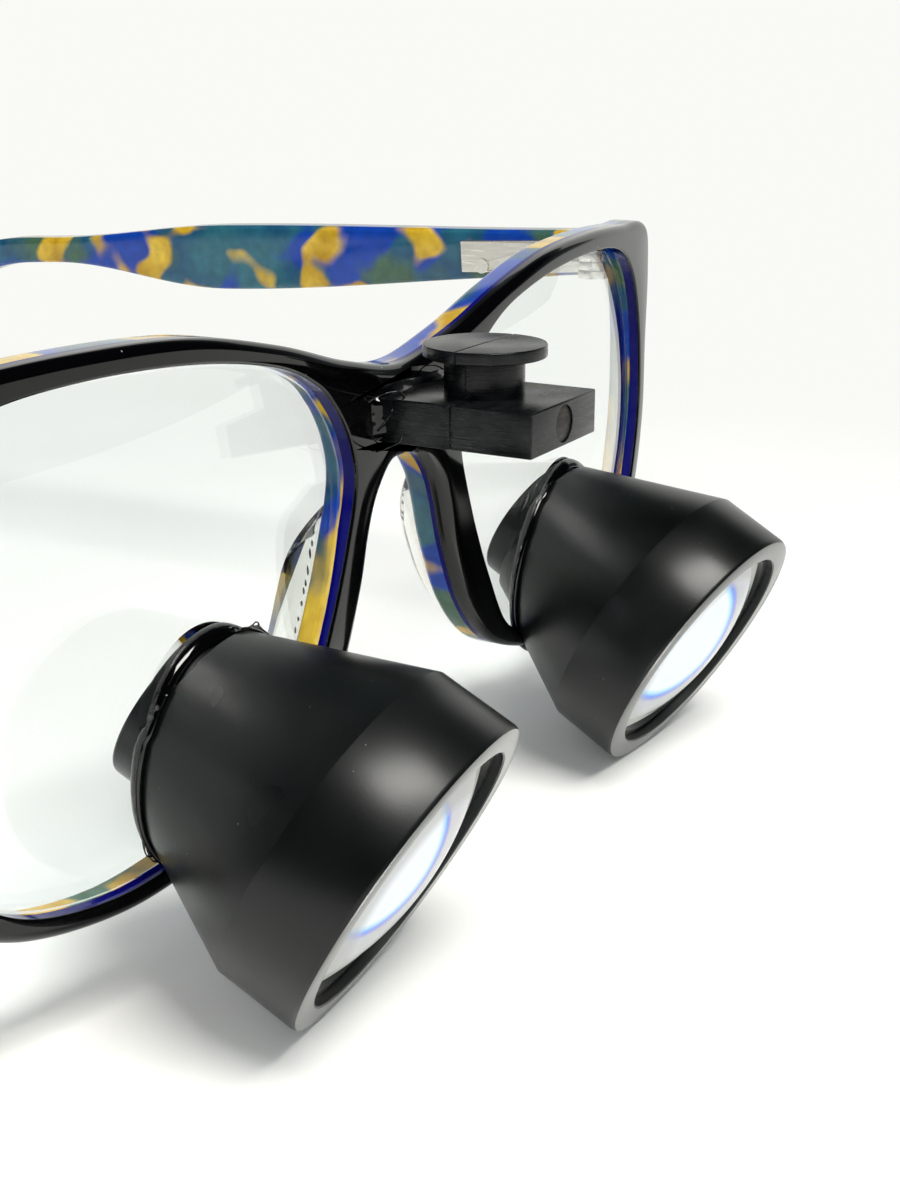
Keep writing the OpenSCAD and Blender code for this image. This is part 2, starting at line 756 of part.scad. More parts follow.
module temple_rivet_places() {
    for (i = [0, 1])
        translate([
            temple_x - plate_t,
            plate_from + (i == 0 ? rivet_inset : plate_l - rivet_inset),
            temple_middle(i == 0 ? rivet_inset : plate_l - rivet_inset) + (i == 0 ? rivet_rise : -rivet_rise)
        ])
            rotate([0, 90, 0])
                children();
}
function temple_middle(s) = temple_z - (s + plate_from - temple_y) * tan(temple_slope);
module temple_leaf() {
    difference() {
        union() {
            translate([temple_x - plate_t, plate_from, temple_middle(0)])
                rotate([-temple_slope, 0, 0])
                    translate([0, 0, -plate_h / 2])
                        cube([plate_t, plate_l, plate_h]);
            knuckles([1, 3])
                translate([hinge_x - arm_overlap, hinge_y, 0])
                    cube([temple_x - hinge_x + arm_overlap, plate_from - hinge_y + arm_l, knuckle_h]);
        }
        screw_bore(turn_gap);
        temple_rivet_places() translate([0, 0, -1]) cylinder(d = rivet_d + 2 * seat_gap, h = plate_t + 2);
    }
}
module screw() {
    translate([hinge_x, hinge_y, hinge_low]) cylinder(d = screw_d, h = knuckle_stack);
    translate([hinge_x, hinge_y, hinge_low + knuckle_stack])
        difference() {
            cylinder(d = screw_head_d, h = screw_head_h);
            translate([-screw_head_d, -slot_w / 2, screw_head_h / 2])
                cube([2 * screw_head_d, slot_w, screw_head_h]);
        }
}
module rivet(l) {
    cylinder(d = rivet_d, h = l);
    translate([0, 0, -rivet_head_h]) cylinder(d = rivet_head_d, h = rivet_head_h);
}

// Straight stretch and bend of the flat core wire, grown by a gap and started ahead of the temple
module wire(grow, lead) {
    bend_a = (wire_l + grow - temple_straight) / ear_r * 180 / PI;
    t = wire_t + 2 * grow;
    h = wire_h + 2 * grow;
    translate([wire_x, temple_y, temple_z])
        rotate([-temple_slope, 0, 0])
            translate([-t / 2, -lead, -h / 2])
                cube([t, temple_straight + lead, h]);
    translate([wire_x, ear_centre[0], ear_centre[1]])
        rotate([90, 0, 90])
            rotate([0, 0, 90 - temple_slope - bend_a])
                rotate_extrude(angle = bend_a)
                    translate([ear_r - h / 2, -t / 2])
                        square([h, t]);
}

// Lamp mount: the two halves meet in the plane of the seam
module mount_body() {
    translate([-bar_w / 2, bar_front, bar_low]) cube([bar_w, bar_root - bar_front, bar_h]);
    translate([0, seam_y, bar_top]) cylinder(d = neck_d, h = neck_h);
    translate([0, seam_y, neck_top]) cylinder(d = disc_d, h = disc_t);
}
module dowel_shape(d, l) {
    translate([0, bar_front + dowel_recess, dowel_z]) rotate([-90, 0, 0]) cylinder(d = d, h = l);
}
module seam_half(from, to) {
    difference() {
        intersection() {
            mount_body();
            translate([-reach / 2, from, 0]) cube([reach, to - from, reach]);
        }
        dowel_shape(dowel_d + 2 * seat_gap, dowel_l);
        translate([0, -1, 0]) dowel_shape(dowel_d + 2 * seat_gap, dowel_l);
    }
}

// A layer of the front, relieved where the barrels pass close to its lower rim
module front_layer(sections) {
    difference() {
        placed(left) ring_layer(sections);
        for (side = [left, right])
            placed(side) on_barrel() barrel_outline(hole_gap);
    }
}
module front_black_layer() {
    color(black) front_layer([for (k = [0 : stations - 1]) black_section(k)]);
}
module front_blue_layer() {
    color(blue) front_layer([for (k = [0 : stations - 1]) blue_section(k)]);
}
module front_tortoise_layer() {
    color(tortoise)
        difference() {
            front_layer([for (k = [0 : stations - 1]) tortoise_section(k)]);
            for (side = [left, right])
                placed(side) {
                    leaf_pocket(seat_gap);
                    leaf_rivet_places() cylinder(d = rivet_d + 2 * seat_gap, h = leaf_rivet_l + seat_gap);
                }
        }
}
module carrier_lens_left() { color(clear) placed(left) carrier_lens(); }
module carrier_lens_right() { color(clear) placed(right) carrier_lens(); }
module nose_pad_left() { color(clear) placed(left) nose_pad(); }
module nose_pad_right() { color(clear) placed(right) nose_pad(); }
module barrel_housing_left() { color(satin_black) placed(left) on_barrel() housing(); }
module barrel_housing_right() { color(satin_black) placed(right) on_barrel() housing(); }
module objective_retainer_left() { color(black) placed(left) on_barrel() retainer(); }
module objective_retainer_right() { color(black) placed(right) on_barrel() retainer(); }
module objective_front_lens_left() { color(glass) placed(left) on_barrel() front_element(); }
module objective_front_lens_right() { color(glass) placed(right) on_barrel() front_element(); }
module objective_rear_lens_left() { color(glass) placed(left) on_barrel() rear_element(); }
module objective_rear_lens_right() { color(glass) placed(right) on_barrel() rear_element(); }
module eyepiece_cell_left() { color(black) placed(left) on_barrel() cell(); }
module eyepiece_cell_right() { color(black) placed(right) on_barrel() cell(); }
module eyepiece_lens_left() { color(glass) placed(left) on_barrel() eyepiece(); }
module eyepiece_lens_right() { color(glass) placed(right) on_barrel() eyepiece(); }
module eyepiece_ring_left() { color(black) placed(left) on_barrel() eye_ring(); }
module eyepiece_ring_right() { color(black) placed(right) on_barrel() eye_ring(); }
module barrel_bead_left() { color(glue) placed(left) bead(); }
module barrel_bead_right() { color(glue) placed(right) bead(); }
module mount_rear_half() { color(satin_black) placed(left) seam_half(seam_y, reach); }
module mount_front_half() { color(satin_black) placed(left) seam_half(-reach, seam_y); }
module mount_dowel() { color(black) placed(left) dowel_shape(dowel_d, dowel_l); }
module mount_adhesive() {
    color(glue)
        placed(left)
            difference() {
                hull() {
                    translate([-bar_w / 2 - glue_w, front_setback - root_gap, bar_low - glue_w])
                        cube([bar_w + 2 * glue_w, root_gap, bar_h + 2 * glue_w]);
                    translate([-bar_w / 2, front_setback - glue_w, bar_low]) cube([bar_w, glue_w, bar_h]);
                }
                translate([-bar_w / 2, 0, bar_low]) cube([bar_w, bar_root, bar_h]);
            }
}
module front_hinge_left() { color(steel) placed(left) front_leaf(); }
module front_hinge_right() { color(steel) placed(right) front_leaf(); }
module temple_hinge_left() { color(steel) placed(left) temple_leaf(); }
module temple_hinge_right() { color(steel) placed(right) temple_leaf(); }
module hinge_screw_left() { color(steel) placed(left) screw(); }
module hinge_screw_right() { color(steel) placed(right) screw(); }
module front_rivets_left() { color(steel) placed(left) leaf_rivet_places() rivet(leaf_rivet_l); }
module front_rivets_right() { color(steel) placed(right) leaf_rivet_places() rivet(leaf_rivet_l); }
module temple_rivets_left() { color(steel) placed(left) temple_rivet_places() rivet(rivet_l); }
module temple_rivets_right() { color(steel) placed(right) temple_rivet_places() rivet(rivet_l); }
module core_wire_left() { color(steel) placed(left) wire(0, 0); }
module core_wire_right() { color(steel) placed(right) wire(0, 0); }
module temple_black_layer(side) {
    e = temple_edge_r;
    color(black)
        placed(side)
            temple_layer([
                [temple_blue_x, -1, 0], [temple_out_x - e, -1, 0], [temple_out_x - 0.3 * e, -1, 0.3 * e],
                [temple_out_x, -1, e], [temple_out_x, 1, e], [temple_out_x - 0.3 * e, 1, 0.3 * e],
                [temple_out_x - e, 1, 0], [temple_blue_x, 1, 0]
            ]);
}
module temple_black_layer_left() { temple_black_layer(left); }
module temple_black_layer_right() { temple_black_layer(right); }
module temple_blue_layer(side) {
    color(blue)
        placed(side)
            temple_layer([
                [temple_tortoise_x, -1, 0], [temple_blue_x, -1, 0],
                [temple_blue_x, 1, 0], [temple_tortoise_x, 1, 0]
            ]);
}
module temple_blue_layer_left() { temple_blue_layer(left); }
module temple_blue_layer_right() { temple_blue_layer(right); }
module temple_tortoise_layer(side) {
    e = temple_edge_r;
    color(tortoise)
        placed(side)
            difference() {
                temple_layer([
                    [temple_tortoise_x, 1, 0], [temple_x + e, 1, 0], [temple_x + 0.3 * e, 1, 0.3 * e],
                    [temple_x, 1, e], [temple_x, -1, e], [temple_x + 0.3 * e, -1, 0.3 * e],
                    [temple_x + e, -1, 0], [temple_tortoise_x, -1, 0]
                ]);
                wire(seat_gap, wire_lead);
                temple_rivet_places() cylinder(d = rivet_d + 2 * seat_gap, h = rivet_l + seat_gap);
            }
}
module temple_tortoise_layer_left() { temple_tortoise_layer(left); }
module temple_tortoise_layer_right() { temple_tortoise_layer(right); }

front_black_layer();
front_blue_layer();
front_tortoise_layer();
carrier_lens_left();
carrier_lens_right();
nose_pad_left();
nose_pad_right();
barrel_housing_left();
barrel_housing_right();
objective_retainer_left();
objective_retainer_right();
objective_front_lens_left();
objective_front_lens_right();
objective_rear_lens_left();
objective_rear_lens_right();
eyepiece_cell_left();
eyepiece_cell_right();
eyepiece_lens_left();
eyepiece_lens_right();
eyepiece_ring_left();
eyepiece_ring_right();
barrel_bead_left();
barrel_bead_right();
mount_rear_half();
mount_front_half();
mount_dowel();
mount_adhesive();
front_hinge_left();
front_hinge_right();
temple_hinge_left();
temple_hinge_right();
hinge_screw_left();
hinge_screw_right();
front_rivets_left();
front_rivets_right();
temple_rivets_left();
temple_rivets_right();
core_wire_left();
core_wire_right();
temple_black_layer_left();
temple_black_layer_right();
temple_blue_layer_left();
temple_blue_layer_right();
temple_tortoise_layer_left();
temple_tortoise_layer_right();
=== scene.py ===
"""Looks of the magnifying loupes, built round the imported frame.

Sizes are in millimetres in the frame of the left half (x outwards, y back from the barrel fronts,
z up from the table), and one function turns them into metres in the row frame for either side.
"""

import logging
import math
from dataclasses import dataclass, field
from enum import Enum
from typing import Callable, Iterable, Sequence

import bmesh
import bpy
import numpy as np
from mathutils import Matrix, Vector


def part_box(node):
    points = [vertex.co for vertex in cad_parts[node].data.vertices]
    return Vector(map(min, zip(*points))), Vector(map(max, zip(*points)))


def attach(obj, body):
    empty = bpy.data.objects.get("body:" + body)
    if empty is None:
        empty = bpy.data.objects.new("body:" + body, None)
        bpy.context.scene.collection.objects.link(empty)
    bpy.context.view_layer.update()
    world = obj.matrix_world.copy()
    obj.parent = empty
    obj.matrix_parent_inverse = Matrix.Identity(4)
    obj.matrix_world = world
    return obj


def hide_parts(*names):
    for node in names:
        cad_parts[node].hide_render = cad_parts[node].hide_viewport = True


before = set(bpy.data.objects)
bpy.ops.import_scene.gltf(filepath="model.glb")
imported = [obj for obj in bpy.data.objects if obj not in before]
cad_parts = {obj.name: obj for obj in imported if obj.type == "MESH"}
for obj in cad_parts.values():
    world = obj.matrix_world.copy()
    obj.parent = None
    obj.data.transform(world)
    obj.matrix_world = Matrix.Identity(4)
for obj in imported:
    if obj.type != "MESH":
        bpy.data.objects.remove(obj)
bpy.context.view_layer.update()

log = logging.getLogger("loupes")

MM = 0.001
TAU = 2 * math.pi
# Distance from the barrel fronts to the dowel's end, by which the left half's frame is placed
DOWEL_FRONT = 2.15
SHIFT_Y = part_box("mount_dowel")[0].y / MM - DOWEL_FRONT

Point = Sequence[float]
Profile = Sequence[tuple[float, float]]
Face = tuple[int, ...]
Tree = bpy.types.NodeTree
Socket = bpy.types.NodeSocket


class Side(Enum):
    """Half of the part, by the sign of its x."""

    LEFT = 1
    RIGHT = -1

    @property
    def word(self) -> str:
        """The side's name as the nodes use it."""
        return self.name.lower()


class Body(Enum):
    """Rigid bodies of the part."""

    FRONT = "front"
    TEMPLE_LEFT = "temple_left"
    TEMPLE_RIGHT = "temple_right"


def to_row(points: Iterable, side: Side = Side.LEFT) -> np.ndarray:
    """Turn millimetres in the left half's frame into metres in the row frame.

    Args:
        points: Points as rows of x, y, z.
        side: Half that the points are for; the right one is a mirror image.

    Returns:
        The points in the row frame, in metres.
    """
    out = np.array(points, float)
    out[..., 0] *= side.value
    out[..., 1] += SHIFT_Y
    return out * MM


def curve(a: np.ndarray, b: np.ndarray, c: np.ndarray, d: np.ndarray, t: float) -> np.ndarray:
    """Point of a smooth curve through b and c, with a and d as their neighbours.

    Args:
        a: Point before b.
        b: Start of the stretch.
        c: End of the stretch.
        d: Point after c.
        t: Share of the stretch, from 0 to 1.

    Returns:
        The point at that share.
    """
    return 0.5 * (2 * b + (c - a) * t + (2 * a - 5 * b + 4 * c - d) * t * t + (3 * b - a - 3 * c + d) * t**3)


def through(points: Sequence[Point], steps: int) -> np.ndarray:
    """Smooth open curve through points.

    Args:
        points: Points to pass through.
        steps: Stretches between two points.

    Returns:
        The curve's points, ends included.
    """
    p = np.array(points, float)
    p = np.vstack([2 * p[0] - p[1], p, 2 * p[-1] - p[-2]])
    out = [curve(*p[i : i + 4], s / steps) for i in range(len(p) - 3) for s in range(steps)]
    return np.array(out + [p[-2]])


def ripple(angle: float, seed: int, waves: int = 9) -> float:
    """Smooth irregular value between about -1 and 1 that closes round a full turn.

    Args:
        angle: Place round the turn, in radians.
        seed: Number that picks the pattern.
        waves: Highest number of waves in a turn.

    Returns:
        The value at that angle.
    """
    rng = np.random.default_rng(seed)
    counts = np.arange(1, waves + 1)
    phases = rng.uniform(0, TAU, waves)
    sizes = rng.uniform(0.4, 1, waves) / np.sqrt(counts)
    return float((sizes * np.sin(counts * angle + phases)).sum() / np.sqrt((sizes**2).sum() * 2))


def uneven(
    shape: Sequence[float], angle: float, slow: tuple[int, int], quick: tuple[int, int]
) -> float:
    """Size that swings round a full turn.

    Args:
        shape: Middle value, size of the slow swing and of the quick one, and least value.
        angle: Place round the turn, in radians.
        slow: Seed and highest number of waves of the slow swing.
        quick: The same for the quick swing.

    Returns:
        The size at that angle.
    """
    middle, swing, tremble, least = shape
    return max(least, middle + swing * ripple(angle, *slow) + tremble * ripple(angle, *quick))


def grid_faces(rows: int, cols: int, wrap_rows: bool, wrap_cols: bool) -> list[Face]:
    """Quads of a grid of points stored row by row.

    Args:
        rows: Number of rows.
        cols: Points in a row.
        wrap_rows: Whether the last row joins the first.
        wrap_cols: Whether the last point of a row joins the first.

    Returns:
        The quads as tuples of point numbers.
    """

    def number(r: int, c: int) -> int:
        return r % rows * cols + c % cols

    return [
        (number(r, c), number(r + 1, c), number(r + 1, c + 1), number(r, c + 1))
        for r in range(rows if wrap_rows else rows - 1)
        for c in range(cols if wrap_cols else cols - 1)
    ]


def tube_faces(base: int, rows: int, cols: int) -> list[Face]:
    """Faces of a tube with closed ends, from rings of points stored one after another.

    Args:
        base: Number of the first ring's first point.
        rows: Number of rings.
        cols: Points in a ring.

    Returns:
        The faces as tuples of point numbers.
    """
    faces = [tuple(base + n for n in face) for face in grid_faces(rows, cols, False, True)]
    first, last = range(base, base + cols), range(base + (rows - 1) * cols, base + rows * cols)
    return [*faces, tuple(reversed(first)), tuple(last)]


def rounding(steps: int, width: float, depth: float) -> list[tuple[float, float]]:
    """Quarter round of an edge, from its foot on the face to its foot on the side.

    Args:
        steps: Number of stretches.
        width: How far in from the side it starts on the face.
        depth: How far below the face it ends on the side.

    Returns:
        Points as distance in from the side and depth below the face.
    """
    turns = [math.radians(90 * i / steps) for i in range(steps + 1)]
    return [(width * (1 - math.sin(a)), depth * (1 - math.cos(a))) for a in turns]


def smooth_by_angle(mesh: bpy.types.Mesh, degrees: float) -> None:
    """Shade a mesh smooth apart from its edges sharper than an angle.

    Args:
        mesh: Mesh to shade.
        degrees: Angle between faces from which an edge is sharp.
    """
    bm = bmesh.new()
    bm.from_mesh(mesh)
    for face in bm.faces:
        face.smooth = True
    for edge in bm.edges:
        edge.smooth = edge.calc_face_angle(math.pi) < math.radians(degrees)
    bm.to_mesh(mesh)
    bm.free()


def make_object(
    name: str, points: np.ndarray, faces: Sequence[Sequence[int]], sharp: float = 30
) -> bpy.types.Object:
    """Make a closed mesh object.

    Args:
        name: Name of the piece.
        points: Points in the row frame, in metres.
        faces: Faces as point numbers; doubled points are joined and normals turned outwards.
        sharp: Angle in degrees from which an edge is sharp.

    Returns:
        The object, linked to the scene.
    """
    mesh = bpy.data.meshes.new(name)
    places = [tuple(map(float, p)) for p in np.asarray(points).reshape(-1, 3)]
    mesh.from_pydata(places, [], [tuple(f) for f in faces])
    bm = bmesh.new()
    bm.from_mesh(mesh)
    bmesh.ops.remove_doubles(bm, verts=bm.verts, dist=2e-7)
    bmesh.ops.dissolve_degenerate(bm, edges=bm.edges, dist=1e-7)
    bmesh.ops.recalc_face_normals(bm, faces=bm.faces)
    bm.to_mesh(mesh)
    bm.free()
    smooth_by_angle(mesh, sharp)
    obj = bpy.data.objects.new(name, mesh)
    bpy.context.scene.collection.objects.link(obj)
    return obj


def cut(obj: bpy.types.Object, cutters: Sequence[bpy.types.Object], sharp: float = 30) -> None:
    """Cut closed objects out of a piece, and remove them.

    Args:
        obj: Piece to cut.
        cutters: Objects whose volume is taken out.
        sharp: Angle in degrees from which an edge of the result is sharp.
    """
    for cutter in cutters:
        boolean = obj.modifiers.new("cut", "BOOLEAN")
        boolean.operation = "DIFFERENCE"
        boolean.solver = "EXACT"
        boolean.object = cutter
    bpy.context.view_layer.update()
    shaped = bpy.data.meshes.new_from_object(obj.evaluated_get(bpy.context.evaluated_depsgraph_get()))
    obj.modifiers.clear()
    old = obj.data
    obj.data = shaped
    shaped.name = obj.name
    bpy.data.meshes.remove(old)
    for cutter in cutters:
        bpy.data.meshes.remove(cutter.data)
    smooth_by_angle(shaped, sharp)


def dress(obj: bpy.types.Object, finish: "Finish", body: Body, *nodes: str) -> bpy.types.Object:
    """Give a new piece its finish, its body and the nodes that it stands for.

    Args:
        obj: The piece.
        finish: Finish of its whole surface.
        body: Body that it rides on.
        nodes: Nodes of the frame that it replaces.

    Returns:
        The same piece.
    """
    obj.data.materials.clear()
    obj.data.materials.append(finish.material())
    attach(obj, body.value)
    if nodes:
        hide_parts(*nodes)
    log.info("%s: %d faces, %s", obj.name, len(obj.data.polygons), finish.name)
    return obj


def linear(code: str) -> tuple[float, float, float, float]:
    """Turn an sRGB hex colour into linear values.

    Args:
        code: Six hex digits after a hash sign.

    Returns:
        Red, green, blue and an alpha of 1.
    """
    parts = [int(code[i : i + 2], 16) / 255 for i in (1, 3, 5)]
    red, green, blue = (c / 12.92 if c <= 0.04045 else ((c + 0.055) / 1.055) ** 2.4 for c in parts)
    return red, green, blue, 1.0


def add_node(
    tree: Tree, kind: str, settings: dict | None = None, links: dict | None = None
) -> bpy.types.Node:
    """Add a shader node with its settings and links.

    Args:
        tree: Tree that the node goes into.
        kind: Blender's name of the node's type.
        settings: Values by property name, or by the name or number of an input.
        links: Sockets to link from, by the name or number of an input.

    Returns:
        The new node.
    """
    node = tree.nodes.new(kind)
    for key, value in (settings or {}).items():
        if isinstance(key, str) and hasattr(node, key):
            setattr(node, key, value)
        else:
            node.inputs[key].default_value = value
    for key, socket in (links or {}).items():
        tree.links.new(socket, node.inputs[key])
    return node


def add_ramp(tree: Tree, factor: Socket, stops: Sequence[tuple[float, str]]) -> Socket:
    """Turn a value into a colour by stops.

    Args:
        tree: Tree that the ramp goes into.
        factor: Value from 0 to 1.
        stops: Place and hex colour of each stop, in order.

    Returns:
        The colour's socket.
    """
    node = add_node(tree, "ShaderNodeValToRGB", None, {"Fac": factor})
    elements = node.color_ramp.elements
    while len(elements) < len(stops):
        elements.new(1.0)
    for element, (place, code) in zip(elements, stops):
        element.position = place
        element.color = linear(code)
    return node.outputs["Color"]


def add_surface(tree: Tree, settings: dict, links: dict | None = None) -> Socket:
    """Add the shader of a surface, with its settings and links.

    Args:
        tree: Tree that the shader goes into.
        settings: Values by the name of an input.
        links: Sockets to link from, by the name of an input.

    Returns:
        The shader's socket.
    """
    return add_node(tree, "ShaderNodeBsdfPrincipled", settings, links).outputs["BSDF"]


def mix_shaders(tree: Tree, share: Socket, first: Socket, second: Socket) -> Socket:
    """Mix two shaders.

    Args:
        tree: Tree that the mix goes into.
        share: Share of the second shader.
        first: Shader at a share of 0.
        second: Shader at a share of 1.

    Returns:
        The mixed shader's socket.
    """
    return add_node(tree, "ShaderNodeMixShader", None, {0: share, 1: first, 2: second}).outputs[0]


def mix_colours(
    tree: Tree, share: Socket | float, first: Socket | str, second: Socket | str, blend: str = "MIX"
) -> Socket:
    """Mix two colours, each a socket or a hex colour.

    Args:
        tree: Tree that the mix goes into.
        share: Share of the second colour.
        first: Colour at a share of 0.
        second: Colour at a share of 1.
        blend: Blender's name of the way to mix.

    Returns:
        The mixed colour's socket.
    """
    settings: dict = {"data_type": "RGBA", "blend_type": blend}
    links: dict = {}
    for place, value in ((0, share), (6, first), (7, second)):
        if isinstance(value, Socket):
            links[place] = value
        else:
            settings[place] = linear(value) if isinstance(value, str) else value
    return add_node(tree, "ShaderNodeMix", settings, links).outputs[2]


def map_range(tree: Tree, value: Socket, low: float, high: float, kind: str = "LINEAR") -> Socket:
    """Turn a value into its share of a range, from 0 to 1.

    Args:
        tree: Tree that the node goes into.
        value: The value.
        low: Value that gives 0.
        high: Value that gives 1.
        kind: Blender's name of the way from one to the other.

    Returns:
        The share's socket.
    """
    settings = {"interpolation_type": kind, "From Min": low, "From Max": high}
    return add_node(tree, "ShaderNodeMapRange", settings, {"Value": value}).outputs["Result"]


@dataclass(frozen=True)
class Finish:
    """A finish with its name, the record's slot and its shader values."""

    name: str
    slot: str
    colour: str
    roughness: float
    grain_mm: float = 0.3
    bump_mm: float = 0.002

    def material(self) -> bpy.types.Material:
        """Return the finish's material, made once."""
        found = bpy.data.materials.get(self.name)
        if found:
            return found
        made = bpy.data.materials.new(self.name)
        made.use_nodes = True
        tree = made.node_tree
        tree.nodes.clear()
        out = tree.nodes.new("ShaderNodeOutputMaterial")
        tree.links.new(self.shader(tree), out.inputs["Surface"])
        made.diffuse_color = linear(self.colour)
        return made

    def place(self, tree: Tree, scale: Point = (1, 1, 1)) -> Socket:
        """Place on the piece in millimetres, stretched by a scale for each axis."""
        where = add_node(tree, "ShaderNodeTexCoord").outputs["Object"]
        sized = {"Scale": [s / MM for s in scale]}
        return add_node(tree, "ShaderNodeMapping", sized, {"Vector": where}).outputs["Vector"]

    def noise(self, tree: Tree, size_mm: float, detail: float = 3, scale: Point = (1, 1, 1)) -> Socket:
        """Soft noise whose features are about a size in millimetres."""
        settings = {"Scale": 1 / size_mm, "Detail": detail}
        where = {"Vector": self.place(tree, scale)}
        return add_node(tree, "ShaderNodeTexNoise", settings, where).outputs["Fac"]

    def spread(self, tree: Tree, value: Socket, low: float, high: float) -> Socket:
        """Map noise round its middle onto a range."""
        settings = {"From Min": 0.3, "From Max": 0.7, "To Min": low, "To Max": high}
        return add_node(tree, "ShaderNodeMapRange", settings, {"Value": value}).outputs["Result"]

    def bump(self, tree: Tree, height: Socket, depth_mm: float) -> Socket:
        """Surface normal disturbed by a height."""
        settings = {"Strength": 1.0, "Distance": depth_mm * MM}
        return add_node(tree, "ShaderNodeBump", settings, {"Height": height}).outputs["Normal"]

    def specks(self, tree: Tree, spacing_mm: float, radius: float) -> Socket:
        """Mask of a few tiny specks, 1 on a speck."""
        where = {"Vector": self.place(tree)}
        cells = add_node(tree, "ShaderNodeTexVoronoi", {"Scale": 1 / spacing_mm}, where)
        return map_range(tree, cells.outputs["Distance"], radius, radius * 0.6)

    def polish(self, tree: Tree) -> dict:
        """Links of a tumbled polish: a slow waviness and a gloss that varies."""
        return {
            "Roughness": self.spread(tree, self.noise(tree, 3), self.roughness * 0.7, self.roughness * 1.5),
            "Normal": self.bump(tree, self.noise(tree, 5, 1), self.bump_mm),
        }

    def let_light_through(self, tree: Tree, body: Socket) -> Socket:
        """Let light pass straight through a clear body, with its tint, where it would cast a shadow."""
        tint = add_node(tree, "ShaderNodeBsdfTransparent", {"Color": linear(self.colour)}).outputs["BSDF"]
        path = add_node(tree, "ShaderNodeLightPath").outputs["Is Shadow Ray"]
        return mix_shaders(tree, path, body, tint)

    def glow_disc_share(self, tree: Tree) -> Socket:
        """Distance from the barrel's axis, as the mesh carries it, over 2.5 radii of the painted glow disc.
        """
        reach = add_node(tree, "ShaderNodeAttribute", {"attribute_name": "radius"}).outputs["Fac"]
        return map_range(tree, reach, 0.0, 2.5)

    def shader(self, tree: Tree) -> Socket:
        """Build the surface: one colour under a finely uneven polish."""
        rough = self.spread(tree, self.noise(tree, 4), self.roughness * 0.8, self.roughness * 1.3)
        normal = self.bump(tree, self.noise(tree, self.grain_mm), self.bump_mm)
        settings = {"Base Color": linear(self.colour), "IOR": 1.48}
        return add_surface(tree, settings, {"Roughness": rough, "Normal": normal})


@dataclass(frozen=True)
class PolishedAcetate(Finish):
    """Cellulose acetate sheet, cut and tumbled to a polish.

    To the eye: deep colour under a wet gloss, with a slow waviness and a little dust.
    """

    dust: str = "#8d9094"
    shine: float = 0.5

    def shader(self, tree: Tree) -> Socket:
        """Build the polished surface with its waviness and dust."""
        colour = mix_colours(tree, self.specks(tree, 2.6, 0.035), self.colour, self.dust)
        settings = {"IOR": 1.48, "Specular IOR Level": self.shine}
        return add_surface(tree, settings, {"Base Color": colour, **self.polish(tree)})


@dataclass(frozen=True)
class TortoiseAcetate(Finish):
    """Block-laminated acetate with patches of yellow, blue and teal, polished.

    To the eye: soft-edged patches some 5 to 15 mm long that lie a little below a clear gloss.
    """

    patch_mm: float = 7.5
    blue: str = "#123f9e"
    # Stretch along each axis; the patches are longest along the temples
    grain: tuple[float, float, float] = (1.0, 0.8, 0.85)
    edge: float = 0.035

    def mask(self, tree: Tree, shift: Point, size_mm: float, level: float) -> Socket:
        """Soft-edged patches where a noise rises above a level.

        Args:
            tree: Tree that the nodes go into.
            shift: Offset that tells one set of patches from another.
            size_mm: Size of the patches in millimetres.
            level: Height of the noise at a patch's edge.

        Returns:
            Mask from 0 to 1.
        """
        where = {0: self.place(tree, self.grain)}
        moved = add_node(tree, "ShaderNodeVectorMath", {"operation": "ADD", 1: shift}, where).outputs[0]
        settings = {"Scale": 1 / size_mm, "Detail": 1.5, "Distortion": 0.15}
        cloud = add_node(tree, "ShaderNodeTexNoise", settings, {"Vector": moved}).outputs["Fac"]
        return map_range(tree, cloud, level - self.edge, level + self.edge, "SMOOTHSTEP")

    def shader(self, tree: Tree) -> Socket:
        """Build the patches, blue and then yellow over a shaded teal, mottled and glossy."""
        size = self.patch_mm
        teal = [(0.38, "#2a6474"), (0.5, "#1d4f70"), (0.62, "#43644f")]
        shade = add_ramp(tree, self.noise(tree, size * 1.1, 1, self.grain), teal)
        blue = self.mask(tree, (3.1, 0.4, 7.7), size, 0.525)
        yellow = self.mask(tree, (8.3, 5.9, 1.3), size * 0.9, 0.565)
        amber = add_ramp(tree, self.noise(tree, size * 0.7, 2), [(0.35, "#dcb83c"), (0.65, "#b88f18")])
        patches = mix_colours(tree, yellow, mix_colours(tree, blue, shade, self.blue), amber)
        mottle = self.spread(tree, self.noise(tree, 1.3, 4), 0.8, 1.1)
        grey = add_node(tree, "ShaderNodeCombineColor", None, {i: mottle for i in range(3)}).outputs["Color"]
        colour = mix_colours(tree, 1.0, patches, grey, "MULTIPLY")
        settings = {"IOR": 1.48, "Subsurface Weight": 0.12, "Subsurface Scale": 0.0008}
        return add_surface(tree, settings, {"Base Color": colour, **self.polish(tree)})


@dataclass(frozen=True)
class ClearPolymer(Finish):
    """Clear polymer, moulded or ground and polished; light passes on into its shadow.

    To the eye: almost nothing but its edges, a faint reflection and a hint of its tint.
    """

    ior: float = 1.5

    def shader(self, tree: Tree) -> Socket:
        """Build the clear body, with a light shadow."""
        settings = {"Base Color": linear(self.colour), "IOR": self.ior, "Transmission Weight": 1.0}
        rough = self.spread(tree, self.noise(tree, 6), self.roughness, self.roughness * 2)
        normal = self.bump(tree, self.noise(tree, self.grain_mm), self.bump_mm)
        body = add_surface(tree, settings, {"Roughness": rough, "Normal": normal})
        return self.let_light_through(tree, body)


